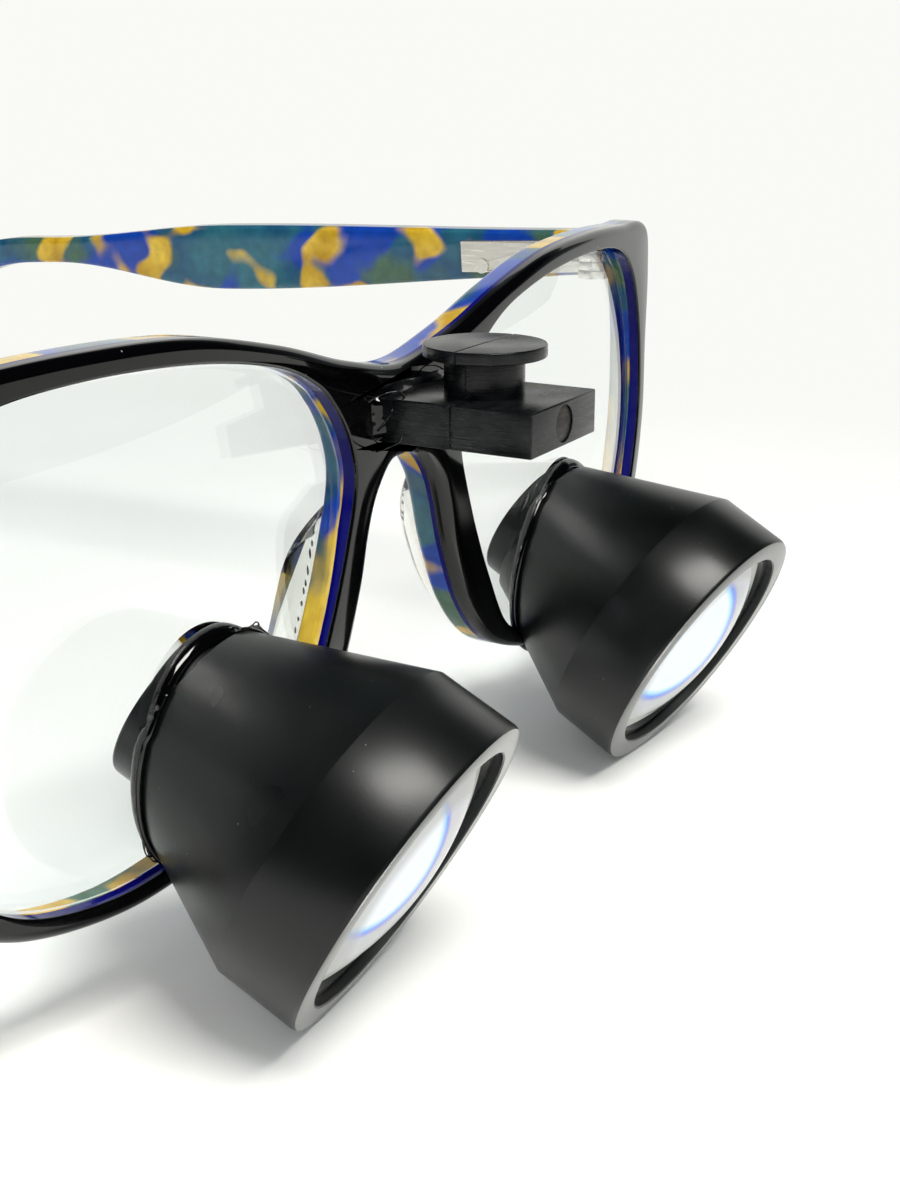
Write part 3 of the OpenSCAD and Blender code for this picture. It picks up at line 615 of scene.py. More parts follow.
@dataclass(frozen=True)
class CoatedGlass(Finish):
    """Optical glass, ground, polished and vacuum coated.

    To the eye: a dark clear lens whose reflection turns from blue to white as the view gets flatter.
    """

    film_nm: float = 420

    def shader(self, tree: Tree) -> Socket:
        """Build the glass under its coating."""
        settings = {
            "Base Color": linear(self.colour), "IOR": 1.62, "Transmission Weight": 1.0,
            "Thin Film Thickness": self.film_nm, "Thin Film IOR": 1.38,
        }
        rough = self.spread(tree, self.noise(tree, 8), self.roughness, self.roughness * 2)
        return self.let_light_through(tree, add_surface(tree, settings, {"Roughness": rough}))


@dataclass(frozen=True)
class SatinAnodised(Finish):
    """Aluminium, turned, bead blasted and anodised black.

    To the eye: an even deep black with a broad soft highlight, a fine grain and a few pale specks.
    """

    dust: str = "#6f7376"
    shine: float = 0.3

    def shader(self, tree: Tree) -> Socket:
        """Build the blasted surface with its clouding and specks."""
        cloud = self.noise(tree, 9, 2)
        tone = add_ramp(tree, cloud, [(0.3, self.colour), (0.7, "#0c1010")])
        colour = mix_colours(tree, self.specks(tree, 2.2, 0.03), tone, self.dust)
        # The blasted grain is finer than the picture shows, so it is drawn a quarter of a millimetre wide
        links = {
            "Base Color": colour,
            "Roughness": self.spread(tree, cloud, self.roughness * 0.88, self.roughness * 1.15),
            "Normal": self.bump(tree, self.noise(tree, self.grain_mm, 2), self.bump_mm),
        }
        return add_surface(tree, {"IOR": 1.6, "Specular IOR Level": self.shine}, links)


@dataclass(frozen=True)
class PrintedNylon(Finish):
    """Black nylon, printed in thin layers and tumbled.

    To the eye: a dull black with fine level lines, a slight grain and paler clouding.
    """

    layer_mm: float = 0.22

    def shader(self, tree: Tree) -> Socket:
        """Build the layered surface."""
        grain = self.noise(tree, self.grain_mm, 4)
        lines = self.noise(tree, self.layer_mm, 1, (0.06, 0.06, 1))
        settings = {"operation": "MULTIPLY_ADD", 1: 0.8}
        height = add_node(tree, "ShaderNodeMath", settings, {0: grain, 2: lines})
        tone = add_ramp(tree, self.noise(tree, 1.6, 4), [(0.35, self.colour), (0.7, "#17181a")])
        links = {
            "Base Color": tone,
            "Roughness": self.spread(tree, lines, self.roughness * 0.8, self.roughness * 1.25),
            "Normal": self.bump(tree, height.outputs[0], self.bump_mm),
        }
        return add_surface(tree, {"IOR": 1.52, "Specular IOR Level": 0.3}, links)


@dataclass(frozen=True)
class CuredAdhesive(Finish):
    """Black epoxy, laid by hand and cured.

    To the eye: a wet black gloss over lumps and dimples that catch small glints.
    """

    def shader(self, tree: Tree) -> Socket:
        """Build the lumpy gloss."""
        links = {
            "Roughness": self.spread(tree, self.noise(tree, 0.8), self.roughness * 0.6, self.roughness * 2),
            "Normal": self.bump(tree, self.noise(tree, self.grain_mm, 3), self.bump_mm),
        }
        return add_surface(tree, {"Base Color": linear(self.colour), "IOR": 1.55}, links)


@dataclass(frozen=True)
class BrushedSteel(Finish):
    """Stainless steel, stamped or turned and lightly brushed.

    To the eye: a pale grey metal with fine streaks along the temple.
    """

    def shader(self, tree: Tree) -> Socket:
        """Build the brushed metal."""
        streak = self.noise(tree, self.grain_mm, 3, (1, 0.08, 1))
        links = {
            "Roughness": self.spread(tree, streak, self.roughness * 0.7, self.roughness * 1.4),
            "Normal": self.bump(tree, streak, self.bump_mm),
        }
        return add_surface(tree, {"Base Color": linear(self.colour), "Metallic": 1.0}, links)


@dataclass(frozen=True)
class PaleBoard(Finish):
    """Matt white board that the part stands on; it belongs to the stage.

    To the eye: warm near-white with the part's soft shadow, running into the white background.
    """

    # Distances from the middle at which the board starts to turn plain white, and has turned
    near_mm: float = 90
    far_mm: float = 260
    white: str = "#f9faf5"

    def shader(self, tree: Tree) -> Socket:
        """Build the board, which turns to plain white away from the part, but lights nothing more."""
        settings = {"Roughness": self.roughness, "IOR": 1.4, "Specular IOR Level": 0.1}
        tone = add_ramp(tree, self.noise(tree, 60, 2), [(0.3, self.colour), (0.7, "#fbfbf8")])
        board = add_surface(tree, settings, {"Base Color": tone})
        settings = {"Color": linear(self.white), "Strength": 1.0}
        white = add_node(tree, "ShaderNodeEmission", settings).outputs[0]
        where = {0: self.place(tree)}
        reach = add_node(tree, "ShaderNodeVectorMath", {"operation": "LENGTH"}, where).outputs["Value"]
        away = map_range(tree, reach, self.near_mm, self.far_mm, "SMOOTHSTEP")
        path = add_node(tree, "ShaderNodeLightPath").outputs
        seen = path["Is Camera Ray"]
        for way in ("Is Glossy Ray", "Is Transmission Ray"):
            either = {0: seen, 1: path[way]}
            seen = add_node(tree, "ShaderNodeMath", {"operation": "MAXIMUM"}, either).outputs[0]
        both = {0: seen, 1: away}
        share = add_node(tree, "ShaderNodeMath", {"operation": "MULTIPLY"}, both).outputs[0]
        return mix_shaders(tree, share, board, white)


@dataclass(frozen=True)
class PaintedGlowCement(Finish):
    """Cemented surface between the two halves of an objective, seen through its front lens.

    To the eye: a painted glowing white disc that stands for the light that comes through the barrel, with a
    painted narrow fringe of cyan, blue and violet, and a painted pale grey glow out to the lens's edge.
    """

    def shader(self, tree: Tree) -> Socket:
        """Build rings of painted glow, by the distance from the axis."""
        stops = [
            (0.0, "#ffffff"), (0.35, "#fbffff"), (0.38, "#b5e4ff"), (0.403, "#5a98ff"), (0.42, "#8f8cdc"),
            (0.445, "#c4c4c0"), (0.7, "#bcbdb6"), (1.0, "#9a9b94"),
        ]
        colour = add_ramp(tree, self.glow_disc_share(tree), stops)
        # Painted glow: an emission that stands for the light through the barrel, its fringe and the pale
        # grey round it
        glow = add_node(tree, "ShaderNodeEmission", {"Strength": 1.0}, {"Color": colour}).outputs[0]
        base = add_surface(tree, {"Base Color": linear(self.colour), "Roughness": self.roughness})
        return add_node(tree, "ShaderNodeAddShader", None, {0: glow, 1: base}).outputs[0]


@dataclass(frozen=True)
class PaintedReflectionGlass(CoatedGlass):
    """Coated front of an objective, whose outer part carries a painted reflection of the bright room at a
    flat view.

    To the eye: clear over the painted glow disc, and a painted pale, even grey reflection from there out to
    the edge.
    """

    def shader(self, tree: Tree) -> Socket:
        """Build the painted reflection over the glass, by the distance from the axis."""
        share = self.glow_disc_share(tree)
        painted_reflection_share = add_ramp(tree, share, [(0.57, "#000000"), (0.6, "#9a9a9a"), (0.66, "#dddddd")])
        colour = add_ramp(tree, share, [(0.57, "#e9eef2"), (0.64, "#cfd0ca"), (0.85, "#c2c3bb")])
        # Painted reflection: an emission in place of the bright room mirrored at a flat view
        glow = add_node(tree, "ShaderNodeEmission", {"Strength": 0.9}, {"Color": colour}).outputs[0]
        return mix_shaders(tree, painted_reflection_share, super().shader(tree), glow)


BLACK_ACETATE = PolishedAcetate(
    "black acetate, tumbled", "black_acetate", "#030304", 0.06, bump_mm=0.006, shine=0.42
)
BLUE_ACETATE = PolishedAcetate(
    "blue acetate, tumbled", "blue_acetate", "#04045a", 0.09, bump_mm=0.006, shine=0.14
)
TORTOISE = TortoiseAcetate("tortoise acetate, laminated", "tortoise_acetate", "#356068", 0.1, bump_mm=0.006)
CLEAR_ACETATE = ClearPolymer(
    "clear acetate, tumbled", "clear_acetate", "#f3f3ee", 0.03, 1.2, 0.004, ior=1.48
)
LENS_POLYMER = ClearPolymer(
    "lens polymer, hard coated", "carrier_lens", "#f8fbfb", 0.0, 9.0, 0.0005, ior=1.5
)
OBJECTIVE_GLASS = CoatedGlass("optical glass, coated", "optical_glass", "#f6fafc", 0.004)
# Painted reflection of the room on the outer part of the objective's front
OBJECTIVE_FRONT_PAINTED_REFLECTION = PaintedReflectionGlass("optical glass, coated, veiled by the room", "optical_glass", "#f6fafc", 0.004)
EDGE_BLACK = CuredAdhesive("optical glass, edge blackened", "optical_glass", "#050506", 0.5, 0.5, 0.002)
# Painted glow of the light seen through the barrel, on the cemented surface
CEMENT_PAINTED_GLOW = PaintedGlowCement("optical cement, lit from behind", "optical_glass", "#101112", 0.4)
BARREL_BLACK = SatinAnodised(
    "aluminium, blasted and anodised", "black_aluminium", "#060808", 0.31, 0.25, 0.003
)
BARREL_FACE = SatinAnodised(
    "aluminium, faced and anodised", "black_aluminium", "#0b0c0d", 0.14, 0.3, 0.0006, shine=0.9
)
TUBE_BLACK = SatinAnodised("aluminium, turned and anodised", "black_aluminium", "#050606", 0.3, 0.4, 0.001)
MOUNT_NYLON = PrintedNylon("nylon, printed", "black_plastic", "#050607", 0.26, 0.35, 0.006)
DOWEL_RESIN = PrintedNylon("resin rod, sawn", "black_plastic", "#2b2623", 0.5, 0.2, 0.01)
EPOXY = CuredAdhesive("epoxy, cured black", "black_adhesive", "#030304", 0.06, 1.4, 0.014)
STEEL = BrushedSteel("stainless steel, brushed", "steel", "#eeeae2", 0.34, 0.2, 0.0008)
BUBBLE = CuredAdhesive("epoxy, trapped bubbles", "black_adhesive", "#1a140c", 0.2, 0.3, 0.01)
BOARD = PaleBoard("board, matt white", "stage", "#f6f6f2", 0.8)


@dataclass
class Front:
    """Laminated front with its two openings, in three layers."""

    setback: float = 17.2
    lens_w: float = 53.1
    lens_h: float = 39.7
    lens_low: float = 11.6
    lens_gap: float = 19
    top: float = 2.0
    side: float = 3.2
    bottom: float = 1.7
    nasal: float = 4.2
    bridge_low: float = 37.6
    bridge_top: float = 46.1
    bend_flat: float = 12
    bend_r: float = 300
    black_t: float = 1.5
    blue_t: float = 0.5
    tortoise_t: float = 2.4
    # Depths inside the openings at which the blue and the tortoise start
    blue_lip: float = 0.3
    tortoise_lip: float = 1.4
    edge_r: float = 0.9
    rim_edge_r: float = 0.28
    rear_edge_r: float = 0.5
    nose_bevel: float = 2.3
    bevel_t: float = 1.3
    lens_t: float = 1.5
    lens_depth: float = 1.4
    lens_front_r: float = 105
    lens_ease: float = 0.3
    lens_grip: float = 0.05
    barrel_gap: float = 0.1
    glue_film: float = 0.1
    # Where the hinge plates lie, out from the middle, and the room round them
    plate_x: tuple[float, float] = (60.1967, 64.3967)
    plate_gap: float = 0.05
    steps: int = 12
    # Lens opening as shares of its width and height, from above the nose round by the temple
    opening_shape: tuple = (
        (0.055, 0.82), (0.105, 0.88), (0.21, 0.94), (0.395, 0.985), (0.61, 1), (0.79, 0.98),
        (0.895, 0.91), (0.957, 0.79), (0.99, 0.64), (0.994, 0.47), (0.951, 0.29), (0.88, 0.15),
        (0.77, 0.045), (0.61, 0), (0.45, 0.01), (0.30, 0.04), (0.19, 0.11), (0.115, 0.26),
        (0.058, 0.41), (0.017, 0.55), (0.002, 0.62), (0, 0.67), (0.008, 0.715), (0.025, 0.765),
    )
    opening: np.ndarray = field(init=False)
    rim: np.ndarray = field(init=False)

    def __post_init__(self) -> None:
        """Work out both lines and the directions out of them."""
        top, side, bottom, nasal = self.top, self.side, self.bottom, self.nasal
        # Step outwards from each point of the opening to the rim's edge
        self.rim_step = (
            (0, 0), (-5.5, 0.6 * top), (-1.2, 0.8 * top), (0, top), (1, top), (3.5, 1.2 * top),
            (2.1 * side, 2.2 * top), (1.65 * side, 1.8 * top), (side, 1), (0.9 * side, -0.6),
            (0.85 * side, -0.55 * bottom), (0.65 * side, -0.85 * bottom), (0.35 * side, -0.92 * bottom),
            (0, -bottom), (-0.5, -bottom), (-1.2, -0.85 * bottom), (-0.7 * nasal, -0.65 * bottom),
            (-nasal, -0.45 * nasal), (-1.07 * nasal, -0.3 * nasal), (-0.95 * nasal, -0.38 * nasal),
            (-1.1 * nasal, -0.33 * nasal),
        )
        self.corners = len(self.opening_shape)
        self.stations = self.corners * self.steps
        self.low_station = (self.corners - 2) * self.steps
        opening, rim = [], []
        for k in range(self.stations):
            j, t = k // self.steps, k % self.steps / self.steps
            opening.append(curve(*(self.opening_corner(j + i) for i in (-1, 0, 1, 2)), t))
            a, b, c, d = (self.rim_corner(j + i) for i in (-1, 0, 1, 2))
            if b[0] == 0 and c[0] == 0:
                rim.append(b + (c - b) * t)
                continue
            flip = np.array([-1, 1])
            rim.append(curve(c * flip if b[0] == 0 else a, b, c, b * flip if c[0] == 0 else d, t))
        self.opening, self.rim = np.array(opening), np.array(rim)
        self.opening_out = self.outward(self.opening)
        self.rim_out = self.outward(self.rim)
        for k in range(self.stations):
            if self.rim[k, 0] == 0:
                self.rim_out[k] = (0, 1) if k == 0 else (0, -1) if k == self.low_station else (0, 0)

    @property
    def thickness(self) -> float:
        """Thickness of all three layers."""
        return self.black_t + self.blue_t + self.tortoise_t

    def opening_corner(self, i: int) -> np.ndarray:
        """Corner of the opening's outline, by number."""
        share = self.opening_shape[i % self.corners]
        return np.array([self.lens_gap / 2 + share[0] * self.lens_w, self.lens_low + share[1] * self.lens_h])

    def rim_corner(self, i: int) -> np.ndarray:
        """Corner of the rim's outline, by number; four of them belong to the bridge."""
        j = i % self.corners
        bridge = {
            0: (0, self.bridge_top),
            self.corners - 1: (0, (self.bridge_low + self.bridge_top) / 2),
            self.corners - 2: (0, self.bridge_low),
            self.corners - 3: (2.6, self.bridge_low - 0.35),
        }
        return np.array(bridge[j], float) if j in bridge else self.opening_corner(j) + self.rim_step[j]

    def outward(self, line: np.ndarray) -> np.ndarray:
        """Unit directions out of a closed line."""
        d = np.roll(line, -1, 0) - np.roll(line, 1, 0)
        out = np.stack([-d[:, 1], d[:, 0]], 1)
        return out / np.linalg.norm(out, axis=1, keepdims=True)

    def face_y(self, x: float, depth: float = 0) -> float:
        """Place of a surface at a depth behind the front's bent face."""
        u = max(0.0, abs(x) - self.bend_flat)
        return self.setback + self.bend_r - math.sqrt(self.bend_r**2 - u * u) + depth

    def edge(self, k: int) -> tuple[float, float]:
        """Width and depth of the rounding on the rim's outer edge at a station."""
        if self.rim[k, 0] == 0 and k not in (0, self.low_station):
            return 0.0, self.edge_r

        # Corners 0 and 1 lie over the bridge, and from 16 on the rim runs up beside the nose
        def share(j: int) -> float:
            return 0.15 if j in (0, 1) else 0.0 if j < 16 else 0.5 if j == 16 else 1.0

        j, t = k // self.steps, k % self.steps / self.steps
        part = share(j) + (share((j + 1) % self.corners) - share(j)) * t
        width = self.edge_r + (self.nose_bevel - self.edge_r) * part
        return width, min(self.bevel_t, self.edge_r + (width - self.edge_r) * 0.4)

    def black_section(self, k: int) -> list[tuple[bool, float, float]]:
        """Section of the black layer at a station, as on the rim or not, inset and depth."""
        width, deep = self.edge(k)
        inner = [(False, *p) for p in reversed(rounding(7, self.rim_edge_r, self.rim_edge_r))]
        outer = [(True, *p) for p in rounding(7, width, deep)]
        return [(False, 0, self.blue_lip), *inner, *outer, (True, 0, self.black_t)]

    def blue_section(self, k: int) -> list[tuple[bool, float, float]]:
        """Section of the blue layer at a station."""
        return [
            (False, 0, self.tortoise_lip), (False, 0, self.blue_lip),
            (True, 0, self.black_t), (True, 0, self.black_t + self.blue_t),
        ]

    def tortoise_section(self, k: int) -> list[tuple[bool, float, float]]:
        """Section of the tortoise layer at a station."""
        end, r, w = self.thickness, self.rear_edge_r, min(self.edge(k)[0], self.edge_r)
        inner = [(False, inset, end - depth) for inset, depth in rounding(6, r, r)]
        outer = [(True, inset, end - depth) for inset, depth in reversed(rounding(6, w, self.edge_r))]
        seams = [(False, 0, self.tortoise_lip), (True, 0, self.black_t + self.blue_t)]
        return [*inner, *seams, *outer]

    def layer(self, name: str, section: Callable[[int], list]) -> bpy.types.Object:
        """Make one layer of both halves as a closed surface.

        Args:
            name: Name of the piece.
            section: Method that gives the layer's section at a station.

        Returns:
            The layer's object.
        """
        rows = []
        for k in range(self.stations):
            for on_rim, inset, depth in section(k):
                line, out = (self.rim, self.rim_out) if on_rim else (self.opening, self.opening_out)
                p = line[k] + out[k] * (-inset if on_rim else inset)
                rows.append((p[0], self.face_y(p[0], depth), p[1]))
        half = np.array(rows)
        n, m = len(section(0)), len(half)
        # Faces that lie in the plane of symmetry would end up inside the layer
        grid = grid_faces(self.stations, n, True, True)
        faces = [f for f in grid if any(abs(half[i][0]) > 1e-9 for i in f)]
        points = np.vstack([to_row(half), to_row(half, Side.RIGHT)])
        return make_object(name, points, faces + [tuple(m + i for i in reversed(f)) for f in faces], 26)

    def pockets(self) -> list[bpy.types.Object]:
        """Boxes that clear the hinge plates, a little larger than the plates."""
        out = []
        for side in Side:
            low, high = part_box(f"front_hinge_{side.word}")
            edge = self.plate_gap * MM
            near, far = (x * MM for x in self.plate_x)
            x = sorted((side.value * (near - edge), side.value * (far + edge)))
            # The pocket is open at the back
            y = (low.y - edge, high.y + 5 * MM)
            z = (low.z - edge, high.z + edge)
            points = [(a, b, c) for a in x for b in y for c in z]
            quads = [(0, 1, 3, 2), (4, 6, 7, 5), (0, 4, 5, 1), (2, 3, 7, 6), (0, 2, 6, 4), (1, 5, 7, 3)]
            out.append(make_object("pocket", np.array(points), quads))
        return out

    def dome_y(self, x: float, z: float, ahead: float = 0) -> float:
        """Place of a sphere round a carrier lens's centre, ahead of its front surface."""
        middle_x, middle_z = (self.lens_gap + self.lens_w) / 2, self.lens_low + self.lens_h / 2
        turn = math.asin((middle_x - self.bend_flat) / self.bend_r)
        bulge = self.lens_w**2 / 8 * (1 / self.lens_front_r - 1 / self.bend_r)
        centre_x = middle_x - self.lens_front_r * math.sin(turn)
        centre_y = self.face_y(middle_x, self.lens_depth - bulge) + self.lens_front_r * math.cos(turn)
        r = self.lens_front_r + ahead
        return centre_y - math.sqrt(r * r - (x - centre_x) ** 2 - (z - middle_z) ** 2)

    def lens(self, side: Side) -> bpy.types.Object:
        """Make a domed carrier lens without its hole, with an eased front edge, held by the rim."""
        middle = np.array([(self.lens_gap + self.lens_w) / 2, self.lens_low + self.lens_h / 2])
        thin = slice(None, None, self.steps // 4)
        outline = (self.opening + self.opening_out * self.lens_grip)[thin]
        eased = (self.opening - self.opening_out * self.lens_ease)[thin]
        rings = 16
        outer = [middle + (eased - middle) * (r / rings) for r in range(rings + 1)]
        rows = [[(*p, self.dome_y(*p)) for p in line] for line in outer]
        rows.append([(*p, self.dome_y(*p, -self.lens_ease)) for p in outline])
        inner = [middle + (outline - middle) * (r / rings) for r in range(rings + 1)]
        rows += [[(*p, self.dome_y(*p, -self.lens_t)) for p in line] for line in reversed(inner)]
        points = np.array(rows).reshape(-1, 3)[:, (0, 2, 1)]
        faces = grid_faces(len(rows), len(outline), False, True)
        return make_object(f"lens_{side.word}", to_row(points, side), faces, 30)

    def build(self, barrels: Sequence["Barrel"]) -> None:
        """Make, cut and dress the three layers and both lenses.

        Args:
            barrels: Barrels that pass through the lenses and close to the lower rims.
        """
        jobs = (
            ("front_face_black", self.black_section, BLACK_ACETATE, "front_black_layer", False),
            ("front_middle_blue", self.blue_section, BLUE_ACETATE, "front_blue_layer", False),
            ("front_back_tortoise", self.tortoise_section, TORTOISE, "front_tortoise_layer", True),
        )
        for name, section, finish, node, pocketed in jobs:
            obj = self.layer(name, section)
            room = [barrel.cutter(self.barrel_gap) for barrel in barrels]
            cut(obj, room + (self.pockets() if pocketed else []), 26)
            dress(obj, finish, Body.FRONT, node)
        for barrel in barrels:
            lens = self.lens(barrel.side)
            # Adhesive wets the wall of the hole, so no air is left between lens and barrel
            cut(lens, [barrel.cutter(-self.glue_film)], 30)
            dress(lens, LENS_POLYMER, Body.FRONT, f"carrier_lens_{barrel.side.word}")


@dataclass
class Barrel:
    """One magnifying barrel with its optics, its adhesive and its way into the frame."""

    side: Side
    front: Front
    spacing: float = 60
    declination: float = 28.7
    convergence: float = 4.5
    radius: float = 14.3
    cyl_l: float = 7.5
    cone_l: float = 14.5
    rear_r: float = 8.0
    chamfer: float = 0.35
    opening_r: float = 11.9
    recess: float = 1.5
    lens_r: float = 11.5
    lens_front_r: float = 26
    lens_mid_r: float = 36
    ring_bore_r: float = 11.2
    rear_element_t: float = 1.2
    # Radius of the painted glow disc in the cemented surface, which stands for the light through the barrel
    glow_disc_r: float = 4.9
    shoulder: float = 8.4
    cell_r: float = 7.2
    cell_end: float = 24.6
    cell_start: float = 16.0
    cell_bore_r: float = 5.85
    cell_lip_r: float = 5.15
    cell_lip_t: float = 0.7
    eyepiece_depth: float = 3.3
    fit: float = 0.05
    # Size of the bead round its turn (middle, slow swing, quick swing, least), and its proportions
    bead_size: tuple[float, float, float, float] = (0.82, 0.16, 0.05, 0.3)
    bead_lift: float = 0.22
    bead_high: float = 0.62
    bead_long: float = 0.95
    bead_ahead: float = 0.42
    bead_steps: int = 240
    bead_sides: int = 16
    strings: int = 9
    string_steps: int = 12
    string_sides: int = 6
    segments: int = 160

    @property
    def cone_end(self) -> float:
        """Distance from the front face to the end of the cone."""
        return self.cyl_l + self.cone_l

    def place(self, local: Iterable) -> np.ndarray:
        """Turn points along the barrel's axis into the row frame, in metres."""
        d, c = math.radians(self.declination), math.radians(self.convergence)
        z = self.radius * math.cos(d) - self.chamfer * math.sin(d)
        turn = Matrix.Rotation(-c, 3, "Z") @ Matrix.Rotation(d - math.pi / 2, 3, "X")
        points = np.array(local, float).reshape(-1, 3) @ np.array(turn).T + (self.spacing / 2, 0, z)
        return to_row(points, self.side)

    def axis(self) -> np.ndarray:
        """Unit direction from the front face back along the barrel."""
        ends = self.place([(0, 0, 0), (0, 0, 1)])
        return (ends[1] - ends[0]) / np.linalg.norm(ends[1] - ends[0])

    def lathe(self, name: str, profile: Profile, sharp: float = 24) -> bpy.types.Object:
        """Turn a closed profile of radius and distance from the front face about the axis.

        Args:
            name: Name of the piece.
            profile: Closed line of (radius, distance).
            sharp: Angle in degrees from which an edge is sharp.

        Returns:
            The turned object.
        """
        angles = [TAU * i / self.segments for i in range(self.segments)]
        local = [(r * math.cos(a), r * math.sin(a), z) for a in angles for r, z in profile]
        faces = grid_faces(self.segments, len(profile), True, True)
        return make_object(name, self.place(local), faces, sharp)

    def cutter(self, grow: float) -> bpy.types.Object:
        """Solid shape of the whole barrel, grown by a gap and longer at both ends."""
        front_r, rear_r, cell_r = self.radius + grow, self.rear_r + grow, self.cell_r + grow
        start, end = -5, self.cell_end + 5
        profile = [
            (0, start), (front_r, start), (front_r, self.cyl_l), (rear_r, self.cone_end),
            (cell_r, self.cone_end), (cell_r, end), (0, end),
        ]
        return self.lathe("cutter", profile)

    def radius_at(self, along: float) -> float:
        """Outside radius at a distance from the front face."""
        if along <= self.cyl_l:
            return self.radius
        if along <= self.cone_end:
            return self.radius + (self.rear_r - self.radius) * (along - self.cyl_l) / self.cone_l
        return self.cell_r

    def housing(self) -> bpy.types.Object:
        """Make the housing with eased edges, the seat of its lens and the bore for its cell."""
        r, c, mouth, ease = self.radius, self.chamfer, self.opening_r, 0.12
        cell_r, seat_r, bore_r = self.cell_r + self.fit, self.lens_r + self.fit, self.lens_r - 0.75
        profile = [
            (mouth + ease, 0.0), (r - c - 0.1, 0.0), (r - c * 0.45, c * 0.3), (r - 0.08, c * 0.75),
            (r, c + 0.15), (r, self.cyl_l - 0.05), (r - 0.03, self.cyl_l + 0.05),
            (self.rear_r + 0.1, self.cone_end - 0.1), (self.rear_r - 0.05, self.cone_end),
            (cell_r, self.cone_end), (cell_r, self.cell_start), (self.cell_r - 0.95, self.cell_start),
            (bore_r, self.shoulder + 0.8), (bore_r, self.shoulder), (seat_r, self.shoulder),
            (seat_r, self.recess), (mouth, self.recess), (mouth, ease),
        ]
        return self.lathe(f"barrel_shell_{self.side.word}", profile)

    def objective(self) -> bpy.types.Object:
        """Make the objective's front lens: polished dome, blackened edge and cemented rear surface."""
        front_r, mid_r, rows = self.lens_front_r, self.lens_mid_r, 30

        def sag(curve_r: float, r: float) -> float:
            return curve_r - math.sqrt(curve_r**2 - r * r)

        crown = self.recess + self.fit - sag(front_r, self.ring_bore_r)
        back = self.shoulder - self.rear_element_t
        radii = [self.lens_r * i / rows for i in range(rows + 1)]
        profile = [(r, crown + sag(front_r, r)) for r in radii]
        profile += [(r, back - sag(mid_r, r)) for r in reversed(radii)]
        return self.lathe(f"objective_lens_{self.side.word}", profile, 20)

    def finish_objective(self, obj: bpy.types.Object) -> None:
        """Dress the lens by surface, and note how far out each point lies for its painted glow and painted
        reflection.
        """
        dress(obj, OBJECTIVE_FRONT_PAINTED_REFLECTION, Body.FRONT, f"objective_front_lens_{self.side.word}")
        mesh = obj.data
        mesh.materials.append(EDGE_BLACK.material())
        mesh.materials.append(CEMENT_PAINTED_GLOW.material())
        start, axis = self.place([(0, 0, 0)])[0], self.axis()
        radius = mesh.attributes.new("radius", "FLOAT", "POINT")
        for vertex, value in zip(mesh.vertices, radius.data):
            away = np.linalg.norm(np.cross(np.array(vertex.co) - start, axis))
            value.value = float(away) / MM / self.glow_disc_r
        for face in mesh.polygons:
            tilt = float(np.dot(face.normal, axis))
            # The dome gets the painted reflection, the rim the blackened edge, the rear the painted glow
            face.material_index = 0 if tilt < -0.5 else 2 if tilt > 0.5 else 1

    def tube(self) -> bpy.types.Object:
        """Make the eyepiece cell with an eased rear edge."""
        outer, bore, lip, end = self.cell_r, self.cell_bore_r, self.cell_lip_r, self.cell_end
        seat = end - self.eyepiece_depth
        profile = [
            (outer - 1, self.cell_start), (outer, self.cell_start), (outer, end - 0.25),
            (outer - 0.08, end - 0.08), (outer - 0.25, end), (bore + 0.12, end),
            (bore, end - 0.12), (bore, seat), (lip, seat), (lip, seat - self.cell_lip_t),
        ]
        return self.lathe(f"eyepiece_tube_{self.side.word}", profile)

    def lens_crossing(self, angle: float) -> float:
        """Distance from the front face at which a line along the barrel's side meets its carrier lens."""
        low, high = 0.0, self.cell_end
        for _ in range(36):
            along = (low + high) / 2
            r = self.radius_at(along)
            point = self.place([(r * math.cos(angle), r * math.sin(angle), along)])[0]
            x, y, z = abs(point[0]) / MM, point[1] / MM - SHIFT_Y, point[2] / MM
            if y < self.front.dome_y(x, z):
                low = along
            else:
                high = along
        return (low + high) / 2

    def bead_rings(self, seed: int) -> list[tuple[float, float, float]]:
        """Rings of points round the bead, as radius, angle and distance from the front face."""
        points = []
        for angle in (TAU * i / self.bead_steps for i in range(self.bead_steps)):
            along = self.lens_crossing(angle)
            size = uneven(self.bead_size, angle, (seed, 7), (seed + 1, 22))
            for k in range(self.bead_sides):
                turn = TAU * k / self.bead_sides
                out = self.bead_lift + size * self.bead_high * math.cos(turn)
                out = max(-0.3, out + 0.02 * ripple(angle, seed + k + 2, 12))
                # The bead runs forwards onto the barrel, and a little of it lies behind the lens's face
                here = along - self.bead_ahead * size + size * self.bead_long * math.sin(turn)
                here = min(here, self.cell_end - 0.1)
                points.append((self.radius_at(here) + out, angle, here))
        return points

    def string_rings(self, start: float, span: float, lift: float) -> list[tuple[float, float, float]]:
        """Rings of points along a string of adhesive that arches off the bead.

        Args:
            start: Angle at which it starts.
            span: Angle that it spans.
            lift: How far it stands off, in millimetres.

        Returns:
            Points as radius, angle and distance from the front face.
        """
        points = []
        for t in (i / (self.string_steps - 1) for i in range(self.string_steps)):
            angle, arch = start + span * t, math.sin(math.pi * t)
            here = self.lens_crossing(angle) - 0.5 - 0.8 * arch * lift
            r = self.radius_at(here) + 0.55 + lift * arch
            thick = 0.06 + 0.05 * abs(2 * t - 1)
            for turn in (TAU * k / self.string_sides for k in range(self.string_sides)):
                points.append((r + thick * math.cos(turn), angle, here + thick * math.sin(turn)))
        return points

